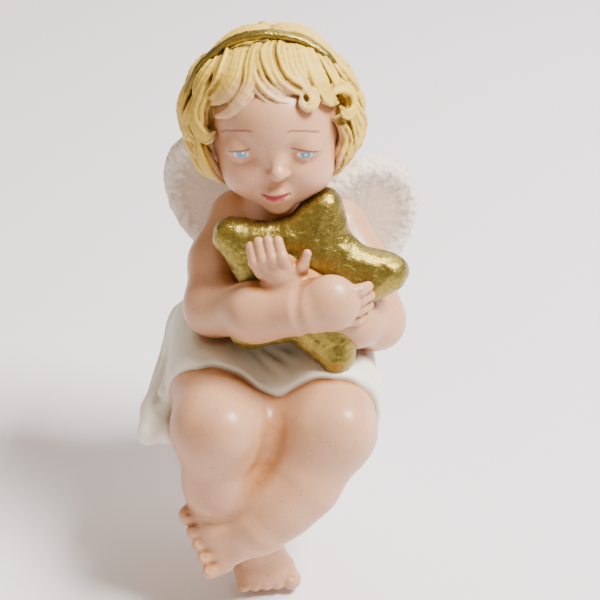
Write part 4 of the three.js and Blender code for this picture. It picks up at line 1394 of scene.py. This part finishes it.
# %% Floor, lamps and room
draft = bmesh.new()
bmesh.ops.create_grid(draft, x_segments=1, y_segments=1, size=3000)
bmesh.ops.translate(draft, verts=draft.verts, vec=(0, 0, low[2] - 0.4))
floor = new_piece("table", draft)
table, tree, shader, place = finish("pale_table", {"Roughness": 0.9})
faint = add(tree, "ShaderNodeTexNoise", {"Vector": place, "Scale": 3, "Detail": 1})
tone = add(tree, "ShaderNodeMix", {0: faint.outputs[0], 6: colour("#ECE9F0"), 7: colour("#F0EEF3")},
           data_type="RGBA")
tree.links.new(tone.outputs[2], shader.inputs["Base Color"])
floor.data.materials.append(table)


def lamp(name, place, size, power, tint):
    data = bpy.data.lights.new(name, "AREA")
    data.size = size * MM
    data.energy = power
    data.color = colour(tint)[:3]
    light = bpy.data.objects.new(name, data)
    light.location = Vector(place) * MM
    light.rotation_euler = (Vector(AIM) - Vector(place)).to_track_quat("-Z", "Y").to_euler()
    bpy.context.scene.collection.objects.link(light)


lamp("window", [480, -130, 820], 300, 27, "#FFFAF6")
lamp("lamp_left", [-620, -300, 460], 500, 1, "#FFD49E")
lamp("back", [240, 620, 560], 500, 3, "#FFFFFF")
world = bpy.data.worlds.new("room")
bpy.context.scene.world = world
world.use_nodes = True
sky = world.node_tree
way = add(sky, "ShaderNodeTexCoord").outputs["Generated"]
parts = add(sky, "ShaderNodeSeparateXYZ", {0: way})
rise = add(sky, "ShaderNodeMapRange", {0: parts.outputs[2], 1: 0, 2: 0.9, 3: 0.1, 4: 0.76})
skirting = add(sky, "ShaderNodeMapRange", {0: parts.outputs[2], 1: 0.04, 2: 0.2, 3: 0.6, 4: 0},
               interpolation_type="SMOOTHSTEP")
height = add(sky, "ShaderNodeMath", {0: rise.outputs[0], 1: skirting.outputs[0]}, operation="ADD")
across = add(sky, "ShaderNodeMapRange", {0: parts.outputs[0], 1: -1, 2: 1, 3: 0.7, 4: 1.3})
glow = add(sky, "ShaderNodeMath", {0: height.outputs[0], 1: across.outputs[0]}, operation="MULTIPLY")
warmth = add(sky, "ShaderNodeMapRange", {0: parts.outputs[2], 1: 0.04, 2: 0.2, 3: 0, 4: 0.7})
tint = add(sky, "ShaderNodeMix", {0: warmth.outputs[0], 6: colour("#F4F2F3"), 7: colour("#F0D4B4")},
           data_type="RGBA")
backdrop = sky.nodes["Background"]
sky.links.new(tint.outputs[2], backdrop.inputs["Color"])
sky.links.new(glow.outputs[0], backdrop.inputs["Strength"])
